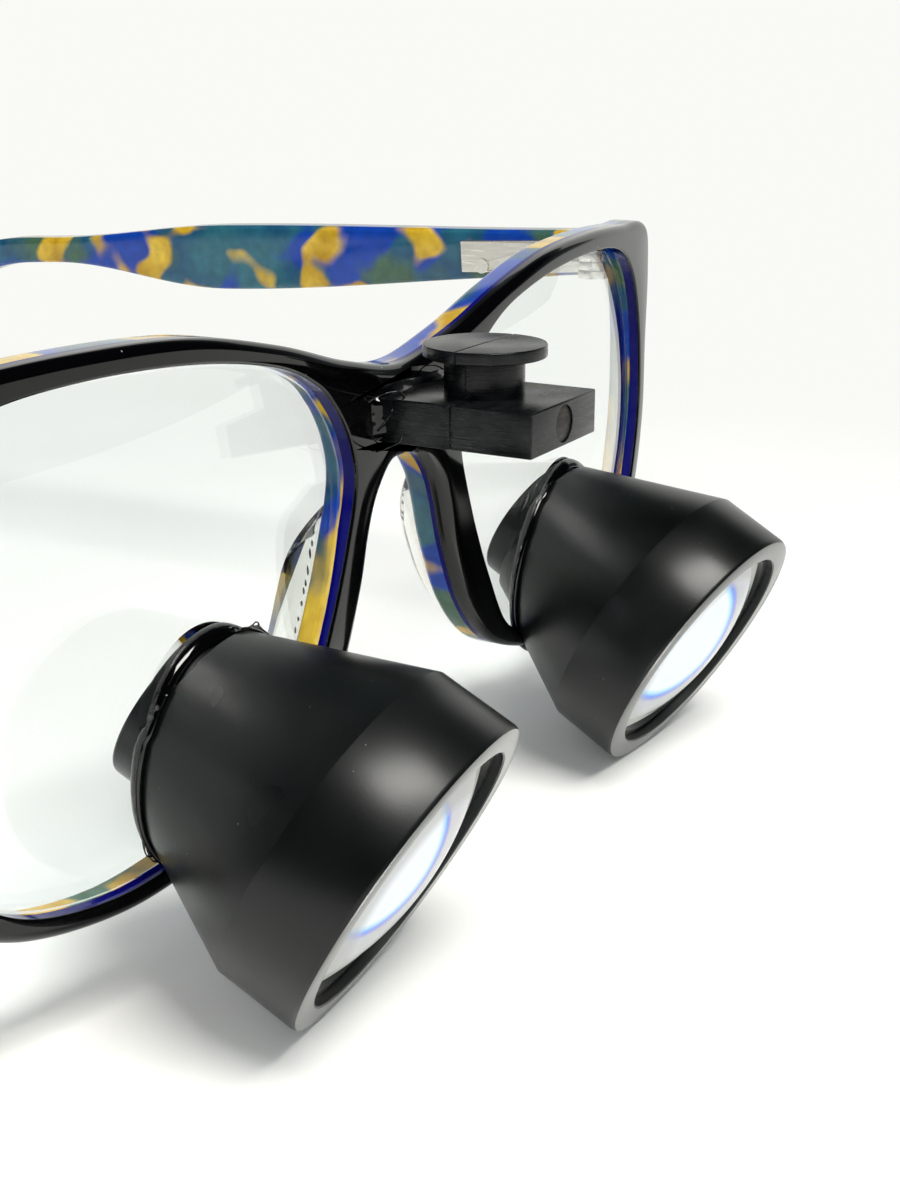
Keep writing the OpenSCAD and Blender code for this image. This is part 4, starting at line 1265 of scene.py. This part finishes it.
    def bead(self) -> bpy.types.Object:
        """Make the adhesive bead that follows the crossing of barrel and lens, with its strings."""
        seed = 11 if self.side is Side.LEFT else 23
        points = self.bead_rings(seed)
        faces = grid_faces(self.bead_steps, self.bead_sides, True, True)
        rng = np.random.default_rng(seed)
        for start in rng.uniform(0, TAU, self.strings):
            faces += tube_faces(len(points), self.string_steps, self.string_sides)
            points += self.string_rings(start, rng.uniform(0.12, 0.34), rng.uniform(0.1, 0.5))
        local = [(r * math.cos(a), r * math.sin(a), here) for r, a, here in points]
        return make_object(f"barrel_glue_{self.side.word}", self.place(local), faces, 60)

    def build(self) -> None:
        """Make and dress the barrel's pieces."""
        word = self.side.word
        shell = dress(self.housing(), BARREL_BLACK, Body.FRONT, f"barrel_housing_{word}")
        shell.data.materials.append(BARREL_FACE.material())
        axis = self.axis()
        for face in shell.data.polygons:
            if np.dot(face.normal, axis) < -0.9:
                face.material_index = 1
        self.finish_objective(self.objective())
        dress(self.tube(), TUBE_BLACK, Body.FRONT, f"eyepiece_cell_{word}")
        dress(self.bead(), EPOXY, Body.FRONT, f"barrel_bead_{word}")


@dataclass
class NosePad:
    """Clear pad cemented behind the rim beside the nose, with the bubbles in its cement."""

    side: Side
    front: Front
    height: float = 16.5
    reach: float = 3.2
    seat_w: float = 2.6
    lean: float = 1.4
    sides: int = 48
    # How far, and how suddenly, it thins towards its upper end
    slim: float = 0.75
    slim_power: int = 4
    bubbles: int = 15
    # Places of the bubbles out from the arm's middle, and their place behind the front's back
    bubble_out: tuple[float, float, float] = (1.3, 1.5, 1.6)
    bubble_back: float = 0.7
    bubble_long: tuple[float, float] = (0.16, 0.5)
    bubble_wide: tuple[float, float] = (0.07, 0.13)
    bubble_flat: float = 0.08
    # Corners of the front's outline between which the arm runs
    arm_corners: tuple[int, int] = (16, 20)

    def __post_init__(self) -> None:
        """Work out the middle line of the arm that the pad sits on."""
        f = self.front
        low, high = self.arm_corners
        ks = range(high * f.steps, low * f.steps - 1, -1)
        middle = np.array([(f.opening[k] + f.rim[k]) / 2 for k in ks])
        order = np.argsort(middle[:, 1])
        self.arm = middle[order]
        self.middle_z = f.rim_corner(high)[1] - 0.5 - self.height / 2

    def arm_x(self, z: float) -> float:
        """Middle of the arm at a height."""
        return float(np.interp(z, self.arm[:, 1], self.arm[:, 0]))

    def point(self, level: Point, angle: float) -> tuple[float, float, float]:
        """Point of the pad's side at a level of [reach, height, width] shares and an angle."""
        half = self.height / 2
        z = self.middle_z + half * level[1] * math.cos(angle)
        x = self.arm_x(self.middle_z + half * min(1, level[1]) * math.cos(angle))
        x += self.lean * level[0] + self.seat_w / 2 * level[2] * math.sin(angle)
        thin = 1 - self.slim * max(0.0, math.cos(angle)) ** self.slim_power
        return x, self.front.face_y(x, self.front.thickness) + self.reach * level[0] * thin, z

    def body(self) -> bpy.types.Object:
        """Make the pad as a smooth form from its seat to its rounded rear edge."""
        shape = (
            (0, 1, 1), (0.12, 1.06, 1.25), (0.4, 1.05, 1.3), (0.7, 0.98, 1.1), (0.9, 0.86, 0.8),
            (0.99, 0.7, 0.35),
        )
        levels = through(shape, 4)
        angles = [TAU * i / self.sides for i in range(self.sides)]
        points = [self.point(level, a) for level in levels for a in angles]
        faces = tube_faces(0, len(levels), self.sides)
        return make_object(f"pad_{self.side.word}", to_row(points, self.side), faces, 50)

    def trapped_bubbles(self) -> bpy.types.Object:
        """Make the row of small flat bubbles in the cement at the edge of the pad's seat."""
        rng = np.random.default_rng(5 + self.side.value)
        points: list = []
        faces: list = []
        rows, cols = 6, 8
        for i in range(self.bubbles):
            share = 0.44 - 0.88 * i / (self.bubbles - 1)
            z = self.middle_z + self.height * share + rng.uniform(-0.25, 0.25)
            x = self.arm_x(z) + rng.choice(self.bubble_out) + rng.uniform(-0.05, 0.05)
            y = self.front.face_y(x, self.front.thickness) + self.bubble_back
            long, wide = rng.uniform(*self.bubble_long), rng.uniform(*self.bubble_wide)
            base = len(points)
            for r in range(rows):
                lat = math.pi * (r + 0.5) / rows
                across, up = math.sin(lat), long * math.cos(lat)
                for c in range(cols):
                    lon = TAU * c / cols
                    out, back = wide * across * math.cos(lon), self.bubble_flat * across * math.sin(lon)
                    points.append((x + out, y + back, z + up))
            faces += tube_faces(base, rows, cols)
        return make_object(f"pad_bubbles_{self.side.word}", to_row(points, self.side), faces, 60)

    def build(self) -> None:
        """Make and dress the pad and its bubbles."""
        dress(self.body(), CLEAR_ACETATE, Body.FRONT, f"nose_pad_{self.side.word}")
        dress(self.trapped_bubbles(), BUBBLE, Body.FRONT)


@dataclass
class LampMount:
    """Split bar on the bridge with its neck, disc, dowel and adhesive."""

    front: Front
    width: float = 12.7
    height: float = 3.9
    top: float = 44.1
    start: float = 2.0
    seam: float = 9.8
    root: float = 17.1
    neck_r: float = 3.55
    neck_h: float = 3.3
    disc_r: float = 5.5
    disc_t: float = 1.1
    dowel_r: float = 1.6
    dowel_l: float = 11.5
    seam_gap: float = 0.02
    # Reach of the adhesive over the frame and along the bar: middle, slow swing, quick swing, least
    glue_wide: tuple[float, float, float, float] = (0.55, 0.2, 0.05, 0.3)
    glue_ahead: tuple[float, float, float, float] = (0.85, 0.35, 0.06, 0.35)
    glue_bulge: float = 0.12

    def block(self, bm: bmesh.types.BMesh, outline: Profile, low: float, high: float, ease: float) -> None:
        """Add an upright prism with eased edges.

        Args:
            bm: Mesh that the prism goes into.
            outline: Closed plan as (x, y), in millimetres.
            low: Height of its underside.
            high: Height of its top.
            ease: Size of the rounding on its sharp edges, in millimetres.
        """
        part = bmesh.new()
        rows = [part.verts.new(to_row((x, y, z))) for z in (low, high) for x, y in outline]
        n = len(outline)
        part.faces.new(rows[:n][::-1])
        part.faces.new(rows[n:])
        for i in range(n):
            j = (i + 1) % n
            part.faces.new((rows[i], rows[j], rows[n + j], rows[n + i]))
        bmesh.ops.recalc_face_normals(part, faces=part.faces)
        sharp = [e for e in part.edges if e.calc_face_angle(0) > math.radians(30)]
        bmesh.ops.bevel(part, geom=sharp, offset=ease * MM, segments=3, profile=0.5, affect="EDGES")
        mesh = bpy.data.meshes.new("part")
        part.to_mesh(mesh)
        part.free()
        bm.from_mesh(mesh)
        bpy.data.meshes.remove(mesh)

    def half_disc(self, radius: float, rear: bool, wobble: float) -> list[tuple[float, float]]:
        """Plan of half a disc on one side of the seam, with a slightly uneven edge."""
        count = 72
        start = 0 if rear else math.pi
        gap = self.seam_gap if rear else -self.seam_gap
        out = []
        for i in range(count + 1):
            a = start + math.pi * i / count
            r = radius + wobble * ripple(a, 31, 40)
            out.append((r * math.cos(a), self.seam + gap + r * math.sin(a)))
        return out

    def half(self, name: str, rear: bool) -> bpy.types.Object:
        """Make one half of the mount: bar, neck and disc."""
        bm = bmesh.new()
        x = self.width / 2
        before = (self.start, self.seam - self.seam_gap)
        y0, y1 = (self.seam + self.seam_gap, self.root) if rear else before
        bar = [(-x, y0), (x, y0), (x, y1), (-x, y1)]
        self.block(bm, bar, self.top - self.height, self.top, 0.14)
        neck, low, sunk = self.half_disc(self.neck_r, rear, 0.01), self.top + self.neck_h, 0.2
        self.block(bm, neck, self.top - sunk, low + sunk, 0.05)
        disc = self.half_disc(self.disc_r - (0.07 if rear else 0.0), rear, 0.025)
        self.block(bm, disc, low, low + self.disc_t, 0.12)
        mesh = bpy.data.meshes.new(name)
        bm.to_mesh(mesh)
        bm.free()
        smooth_by_angle(mesh, 34)
        obj = bpy.data.objects.new(name, mesh)
        bpy.context.scene.collection.objects.link(obj)
        return obj

    def rod(self, name: str, radius: float, start: float, length: float, ease: float) -> bpy.types.Object:
        """Turn a rod along y at the dowel's height, with eased ends."""
        count = 64
        profile = [
            (0, 0), (radius - ease, 0), (radius - ease * 0.3, ease * 0.3), (radius, ease),
            (radius, length - ease), (radius - ease, length), (0, length),
        ]
        middle = self.top - self.height / 2
        points = [
            (r * math.cos(TAU * i / count), start + y, middle + r * math.sin(TAU * i / count))
            for i in range(count)
            for r, y in profile
        ]
        return make_object(name, to_row(points), grid_faces(count, len(profile), True, True), 30)

    def adhesive(self) -> bpy.types.Object:
        """Make the irregular fillet of adhesive round the bar's root, with its strings."""
        count, arc, power = 200, 9, 8
        hx, hz, corner = self.width / 2, self.height / 2, 0.06
        middle, bulge = self.top - hz, self.glue_bulge
        face = self.front.setback
        points: list = []
        for i in range(count):
            a = TAU * i / count
            # A rounded rectangle seen from its middle, with more points on its short sides
            c, s = math.cos(a), math.sin(a)
            r = (abs(c) ** power + abs(s) ** power) ** (-1 / power)
            x, z = (hx - corner) * c * r, (hz - corner) * s * r
            lean_x, lean_z = (abs(v) ** (power - 1) * math.copysign(1, v) for v in (x / hx, z / hz))
            normal = Vector((lean_x, lean_z)).normalized()
            wide = uneven(self.glue_wide, a, (41, 6), (42, 18))
            ahead = uneven(self.glue_ahead, a, (43, 5), (44, 16))
            loop = [(-0.15, face + 0.06), (-0.15, face - ahead)]
            for k in range(arc):
                t = math.radians(90 * k / (arc - 1))
                lump = 1 + 0.08 * ripple(a + k * 0.3, 45, 10)
                n = 0.05 + wide * (1 - math.cos(t)) * lump + bulge * math.sin(2 * t)
                out = ahead * (1 - math.sin(t)) + bulge * math.sin(2 * t) * lump
                loop.append((n, face - max(0.0, out)))
            loop.append((0.05 + wide, face + 0.06))
            points += [(x + normal.x * n, y, middle + z + normal.y * n) for n, y in loop]
        faces = grid_faces(count, arc + 3, True, True)
        strings = (
            [(-6.5, 15.2, 43.9), (-7.4, 14.9, 43.2), (-7.7, 15.5, 42.2), (-6.9, 16.6, 41.3)],
            [(-6.4, 14.4, 41.2), (-7.1, 14.3, 40.6), (-7.3, 15.6, 39.9), (-6.4, 17.1, 39.3)],
            [(-5.2, 14.9, 44.15), (-5.9, 15.2, 44.7), (-6.9, 16.2, 44.5), (-7.6, 17.1, 43.9)],
            [(4.5, 15.3, 44.15), (5.2, 15.7, 44.8), (6.5, 16.4, 44.6), (7.3, 17.1, 43.8)],
        )
        for path in strings:
            line = through(path, 8)
            base, ring = len(points), 7
            for i, p in enumerate(line):
                ahead = line[min(i + 1, len(line) - 1)] - line[max(i - 1, 0)]
                turn = Vector(ahead).to_track_quat("Z", "Y")
                r = 0.05 + 0.05 * abs(2 * i / (len(line) - 1) - 1)
                for a in (TAU * k / ring for k in range(ring)):
                    off = turn @ Vector((r * math.cos(a), r * math.sin(a), 0))
                    points.append(tuple(p + np.array(off)))
            faces += tube_faces(base, len(line), ring)
        return make_object("mount_glue", to_row(points), faces, 60)

    def build(self) -> None:
        """Make and dress the mount's pieces."""
        rear = self.half("mount_half_rear", True)
        fore = self.half("mount_half_front", False)
        cut(fore, [self.rod("bore", self.dowel_r + 0.05, self.start - 1, 3, 0.01)], 34)
        dress(rear, MOUNT_NYLON, Body.FRONT, "mount_rear_half")
        dress(fore, MOUNT_NYLON, Body.FRONT, "mount_front_half")
        rod = self.rod("mount_pin", self.dowel_r, self.start + 0.15, self.dowel_l, 0.08)
        dress(rod, DOWEL_RESIN, Body.FRONT, "mount_dowel")
        dress(self.adhesive(), EPOXY, Body.FRONT, "mount_adhesive")


@dataclass
class Temple:
    """One folding temple in three layers, from the hinge to the tip behind the ear."""

    side: Side
    front: Front
    thickness: float = 4
    h_front: float = 5.4
    h_wide: float = 8.5
    h_slim: float = 3.5
    h_tip: float = 7
    height: float = 48.4
    slope: float = 3.3
    straight: float = 91
    ear_r: float = 40
    ear_angle: float = 62
    edge_r: float = 0.7
    butt_gap: float = 0.3
    belly: float = 0.2
    belly_h: float = 7
    # Distances from the hinge end at which it is widest and slimmest, and length of the drop end
    wide_at: float = 56
    slim_at: float = 86
    drop_l: float = 50
    straight_steps: int = 56
    ear_steps: int = 28
    tip_steps: int = 11
    tip_turn: float = 84
    # How far its outside lies in from the rim's outermost corner
    inset: float = 0.2
    hinge_corner: int = 7

    def __post_init__(self) -> None:
        """Work out the temple's stations."""
        self.out_x = self.front.rim_corner(self.hinge_corner)[0] - self.inset
        self.in_x = self.out_x - self.thickness
        self.blue_x = self.out_x - self.front.black_t
        self.tortoise_x = self.blue_x - self.front.blue_t
        self.start_y = self.front.face_y(self.in_x, self.front.thickness) + self.butt_gap
        self.stations = self.make_stations()

    def tall(self, s: float) -> float:
        """Height of the temple at a distance from the hinge end."""

        def ease(t: float) -> float:
            return (1 - math.cos(math.pi * min(1, max(0, t)))) / 2

        if s < self.wide_at:
            return self.h_front + (self.h_wide - self.h_front) * ease(s / self.wide_at)
        if s < self.slim_at:
            share = (s - self.wide_at) / (self.slim_at - self.wide_at)
            return self.h_wide + (self.h_slim - self.h_wide) * ease(share)
        share = (s - self.slim_at) / (self.straight + self.drop_l - self.slim_at)
        return self.h_slim + (self.h_tip - self.h_slim) * ease(share)

    def make_stations(self) -> list[tuple[np.ndarray, float, float]]:
        """Stations as middle point (y, z), angle below the horizontal and half height."""
        rad = math.radians
        slope, ear = rad(self.slope), rad(self.ear_angle)
        start = np.array([self.start_y, self.height])
        end = start + self.straight * np.array([math.cos(slope), -math.sin(slope)])
        centre = end - self.ear_r * np.array([math.sin(slope), math.cos(slope)])
        ear_end = centre + self.ear_r * np.array([math.sin(ear), math.cos(ear)])
        tip_r = self.h_tip / 2
        # The rounded tip reaches down to the table
        drop = tip_r * max(math.cos(rad(a) - ear) for a in (0, 20, 40, 60, 78))
        tail = (ear_end[1] - drop) / math.sin(ear)
        along = np.array([math.cos(ear), -math.sin(ear)])
        tip = ear_end + tail * along
        out = []
        for i in range(self.straight_steps + 1):
            share = i / self.straight_steps
            h = self.tall(self.straight * share)
            shift = self.belly * (h - self.belly_h) * np.array([math.sin(slope), math.cos(slope)])
            out.append((start + (end - start) * share - shift, slope, h / 2))
        for i in range(1, self.ear_steps + 1):
            a = slope + (ear - slope) * i / self.ear_steps
            h = self.tall(self.straight + self.ear_r * (a - slope))
            reach = self.ear_r - self.belly * (h - self.belly_h)
            out.append((centre + reach * np.array([math.sin(a), math.cos(a)]), a, h / 2))
        # The tip's rounding stops short of a point
        for i in range(self.tip_steps + 1):
            a = rad(self.tip_turn * i / self.tip_steps)
            out.append((tip + tip_r * math.sin(a) * along, ear, tip_r * math.cos(a)))
        return out

    def loft(self, name: str, section: Sequence[tuple[float, int, float]]) -> bpy.types.Object:
        """Make a layer from its closed section of [x, share of the half height, inset]."""
        points = []
        for i, (middle, angle, half) in enumerate(self.stations):
            up = np.array([math.sin(angle), math.cos(angle)])
            for x, share, inset in section:
                rise = share * max(0.2, half - inset)
                if i == 0:
                    y = self.front.face_y(x, self.front.thickness) + self.butt_gap
                    points.append((x, y, middle[1] + rise))
                else:
                    p = middle + up * rise
                    points.append((x, p[0], p[1]))
        faces = tube_faces(0, len(self.stations), len(section))
        return make_object(name, to_row(points, self.side), faces, 30)

    def build(self) -> None:
        """Make and dress the three layers."""
        word = self.side.word
        body = Body.TEMPLE_LEFT if self.side is Side.LEFT else Body.TEMPLE_RIGHT
        edge = rounding(5, self.edge_r, self.edge_r)
        outer = [(self.out_x - inset, depth) for inset, depth in edge]
        inner = [(self.in_x + inset, depth) for inset, depth in edge]

        def closed(seam: float, line: list[tuple[float, float]]) -> list[tuple[float, int, float]]:
            low = [(x, -1, inset) for x, inset in line]
            high = [(x, 1, inset) for x, inset in reversed(line)]
            return [(seam, -1, 0), *low, *high, (seam, 1, 0)]

        layers = (
            ("outer_black", closed(self.blue_x, outer), BLACK_ACETATE, "black"),
            ("middle_blue", closed(self.tortoise_x, [(self.blue_x, 0)]), BLUE_ACETATE, "blue"),
            ("inner_tortoise", closed(self.tortoise_x, inner), TORTOISE, "tortoise"),
        )
        for name, section, finish, node in layers:
            dress(self.loft(f"temple_{name}_{word}", section), finish, body, f"temple_{node}_layer_{word}")


@dataclass
class Fittings:
    """Nodes of the frame whose shape stays: hinges, screws, rivets, wires, rings and inner lenses."""

    ease_mm: float = 0.06

    def build(self) -> None:
        """Give the kept nodes their finishes, and the metal ones eased edges."""
        hinge = ("front_hinge", "temple_hinge", "hinge_screw", "front_rivets", "temple_rivets")
        kinds = (
            ((*hinge, "core_wire"), STEEL, True),
            (("objective_retainer", "eyepiece_ring"), TUBE_BLACK, False),
            (("objective_rear_lens", "eyepiece_lens"), OBJECTIVE_GLASS, False),
        )
        for kind, finish, eased in kinds:
            for node in (f"{k}_{side.word}" for k in kind for side in Side):
                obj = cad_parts[node]
                obj.data.materials.clear()
                obj.data.materials.append(finish.material())
                if eased:
                    weld = obj.modifiers.new("weld", "WELD")
                    weld.merge_threshold = 1e-6
                    bevel = obj.modifiers.new("ease", "BEVEL")
                    bevel.width = self.ease_mm * MM
                    bevel.segments = 2
                    bevel.limit_method = "ANGLE"
                    bevel.angle_limit = math.radians(40)
                log.info("%s: kept, %s", node, finish.name)


@dataclass(frozen=True)
class Lamp:
    """Soft rectangular lamp that faces the part."""

    name: str
    # Place and size in metres
    at: tuple[float, float, float]
    size: tuple[float, float]
    watts: float
    tint: str
    # Whether glossy surfaces show it
    mirrored: bool


OVERHEAD = Lamp("overhead", (-0.13, -0.41, 0.68), (0.42, 0.24), 5.6, "#fffdf8", True)
CAMERA_SIDE = Lamp("camera side", (-0.7, -0.3, 0.4), (0.6, 0.4), 1.6, "#fbfcff", False)


@dataclass
class Studio:
    """Board, world, lamps and camera."""

    # Where the photograph was taken from, in the left half's frame, and the ways that the camera points
    camera_at: tuple[float, float, float] = (-137.90, -63.07, 75.11)
    right: tuple[float, float, float] = (0.48419, -0.87496, -0.00058)
    up: tuple[float, float, float] = (0.26803, 0.14769, 0.95202)
    back: tuple[float, float, float] = (-0.83290, -0.46112, 0.30602)
    focal_mm: float = 54
    sensor_mm: float = 36
    floor_turn: float = -61
    lamps_aim: tuple[float, float, float] = (0, -0.05, 0.02)
    white: str = "#f9faf5"
    wash_watts: float = 0.05
    wash_angle: float = 95
    wash_source_mm: float = 6
    wash_ahead_mm: float = 3

    def board(self) -> None:
        """Lay the floor, which rises to a backdrop far behind."""
        xs = [-3, 3]
        run = [(-3.0, 0.0), (2.2, 0.0), (2.8, 0.12), (3.2, 0.45), (3.4, 1.0), (3.45, 2.2)]
        points = [(x, y, z) for y, z in run for x in xs]
        turn = np.array(Matrix.Rotation(math.radians(self.floor_turn), 3, "Z"))
        obj = make_object("floor", np.array(points) @ turn.T, grid_faces(len(run), 2, False, False), 60)
        obj.data.materials.append(BOARD.material())

    def world(self) -> None:
        """Light the room: even for matt surfaces, graded for glossy ones, and white to look at."""
        world = bpy.data.worlds.new("room")
        bpy.context.scene.world = world
        world.use_nodes = True
        tree = world.node_tree
        tree.nodes.clear()
        way = add_node(tree, "ShaderNodeTexCoord").outputs["Generated"]
        # Away from the camera and downwards is brightest, as towards the pale board under the part
        settings = {"operation": "DOT_PRODUCT", 1: (0.8, 0.42, -0.43)}
        far = add_node(tree, "ShaderNodeVectorMath", settings, {0: way}).outputs["Value"]
        stops = [(0.0, "#050606"), (0.67, "#141617"), (0.78, "#6c7072"), (0.87, "#fafaf8")]
        mirrored = add_ramp(tree, map_range(tree, far, -1.0, 1.0), stops)
        path = add_node(tree, "ShaderNodeLightPath").outputs
        either = {0: path["Is Camera Ray"], 1: path["Is Transmission Ray"]}
        seen = add_node(tree, "ShaderNodeMath", {"operation": "MAXIMUM"}, either).outputs[0]
        room = mix_colours(tree, path["Is Glossy Ray"], "#a9adb0", mirrored)
        colour = mix_colours(tree, seen, room, self.white)
        light = add_node(tree, "ShaderNodeBackground", {"Strength": 1.0}, {"Color": colour}).outputs[0]
        out = tree.nodes.new("ShaderNodeOutputWorld")
        tree.links.new(light, out.inputs["Surface"])

    def hang(self, lamp: Lamp) -> None:
        """Hang a lamp.

        Args:
            lamp: The lamp, which is turned towards the part.
        """
        data = bpy.data.lights.new(lamp.name, "AREA")
        data.shape = "RECTANGLE"
        data.size, data.size_y = lamp.size
        data.energy = lamp.watts
        data.color = linear(lamp.tint)[:3]
        obj = bpy.data.objects.new(lamp.name, data)
        obj.location = lamp.at
        way = Vector(self.lamps_aim) - Vector(lamp.at)
        obj.rotation_euler = way.to_track_quat("-Z", "Y").to_euler()
        obj.visible_glossy = lamp.mirrored
        bpy.context.scene.collection.objects.link(obj)

    def wash(self, barrel: "Barrel") -> None:
        """Throw a soft patch of light on the board ahead of a barrel, as daylight through it does."""
        data = bpy.data.lights.new(f"wash_{barrel.side.word}", "SPOT")
        data.energy = self.wash_watts
        data.shadow_soft_size = self.wash_source_mm * MM
        data.spot_size = math.radians(self.wash_angle)
        data.spot_blend = 1.0
        obj = bpy.data.objects.new(data.name, data)
        obj.location = Vector(barrel.place([(0, 0, -self.wash_ahead_mm)])[0])
        obj.rotation_euler = Vector(-barrel.axis()).to_track_quat("-Z", "Y").to_euler()
        obj.visible_glossy = False
        bpy.context.scene.collection.objects.link(obj)

    def camera(self) -> None:
        """Set the camera where the photograph was taken."""
        data = bpy.data.cameras.new("camera")
        data.sensor_fit = "VERTICAL"
        data.sensor_height = self.sensor_mm
        data.lens = self.focal_mm
        data.clip_start = 0.005
        obj = bpy.data.objects.new("camera", data)
        spot = to_row(self.camera_at)
        columns = [Vector(v).normalized() for v in (self.right, self.up, self.back)]
        turn = Matrix(columns).transposed().to_4x4()
        obj.matrix_world = Matrix.Translation(Vector(spot)) @ turn
        bpy.context.scene.collection.objects.link(obj)
        bpy.context.scene.camera = obj

    def build(self, barrels: Sequence["Barrel"]) -> None:
        """Set up the whole stage.

        Args:
            barrels: Barrels that throw light on the board.
        """
        self.board()
        for barrel in barrels:
            self.wash(barrel)
        self.world()
        for lamp in (OVERHEAD, CAMERA_SIDE):
            self.hang(lamp)
        self.camera()
        bpy.context.scene.view_settings.view_transform = "Standard"


def main() -> None:
    """Build the stage and the part's pieces in order."""
    logging.basicConfig(level=logging.INFO, format="%(name)s: %(message)s")
    front = Front()
    # The left barrel's painted glow disc is larger, for more of the light behind it, since the camera looks
    # further into it
    barrels = [Barrel(Side.LEFT, front, glow_disc_r=5.9), Barrel(Side.RIGHT, front)]
    Studio().build(barrels)
    front.build(barrels)
    for barrel in barrels:
        barrel.build()
    for side in Side:
        NosePad(side, front).build()
        Temple(side, front).build()
    LampMount(front).build()
    Fittings().build()


if __name__ == "__main__":
    main()
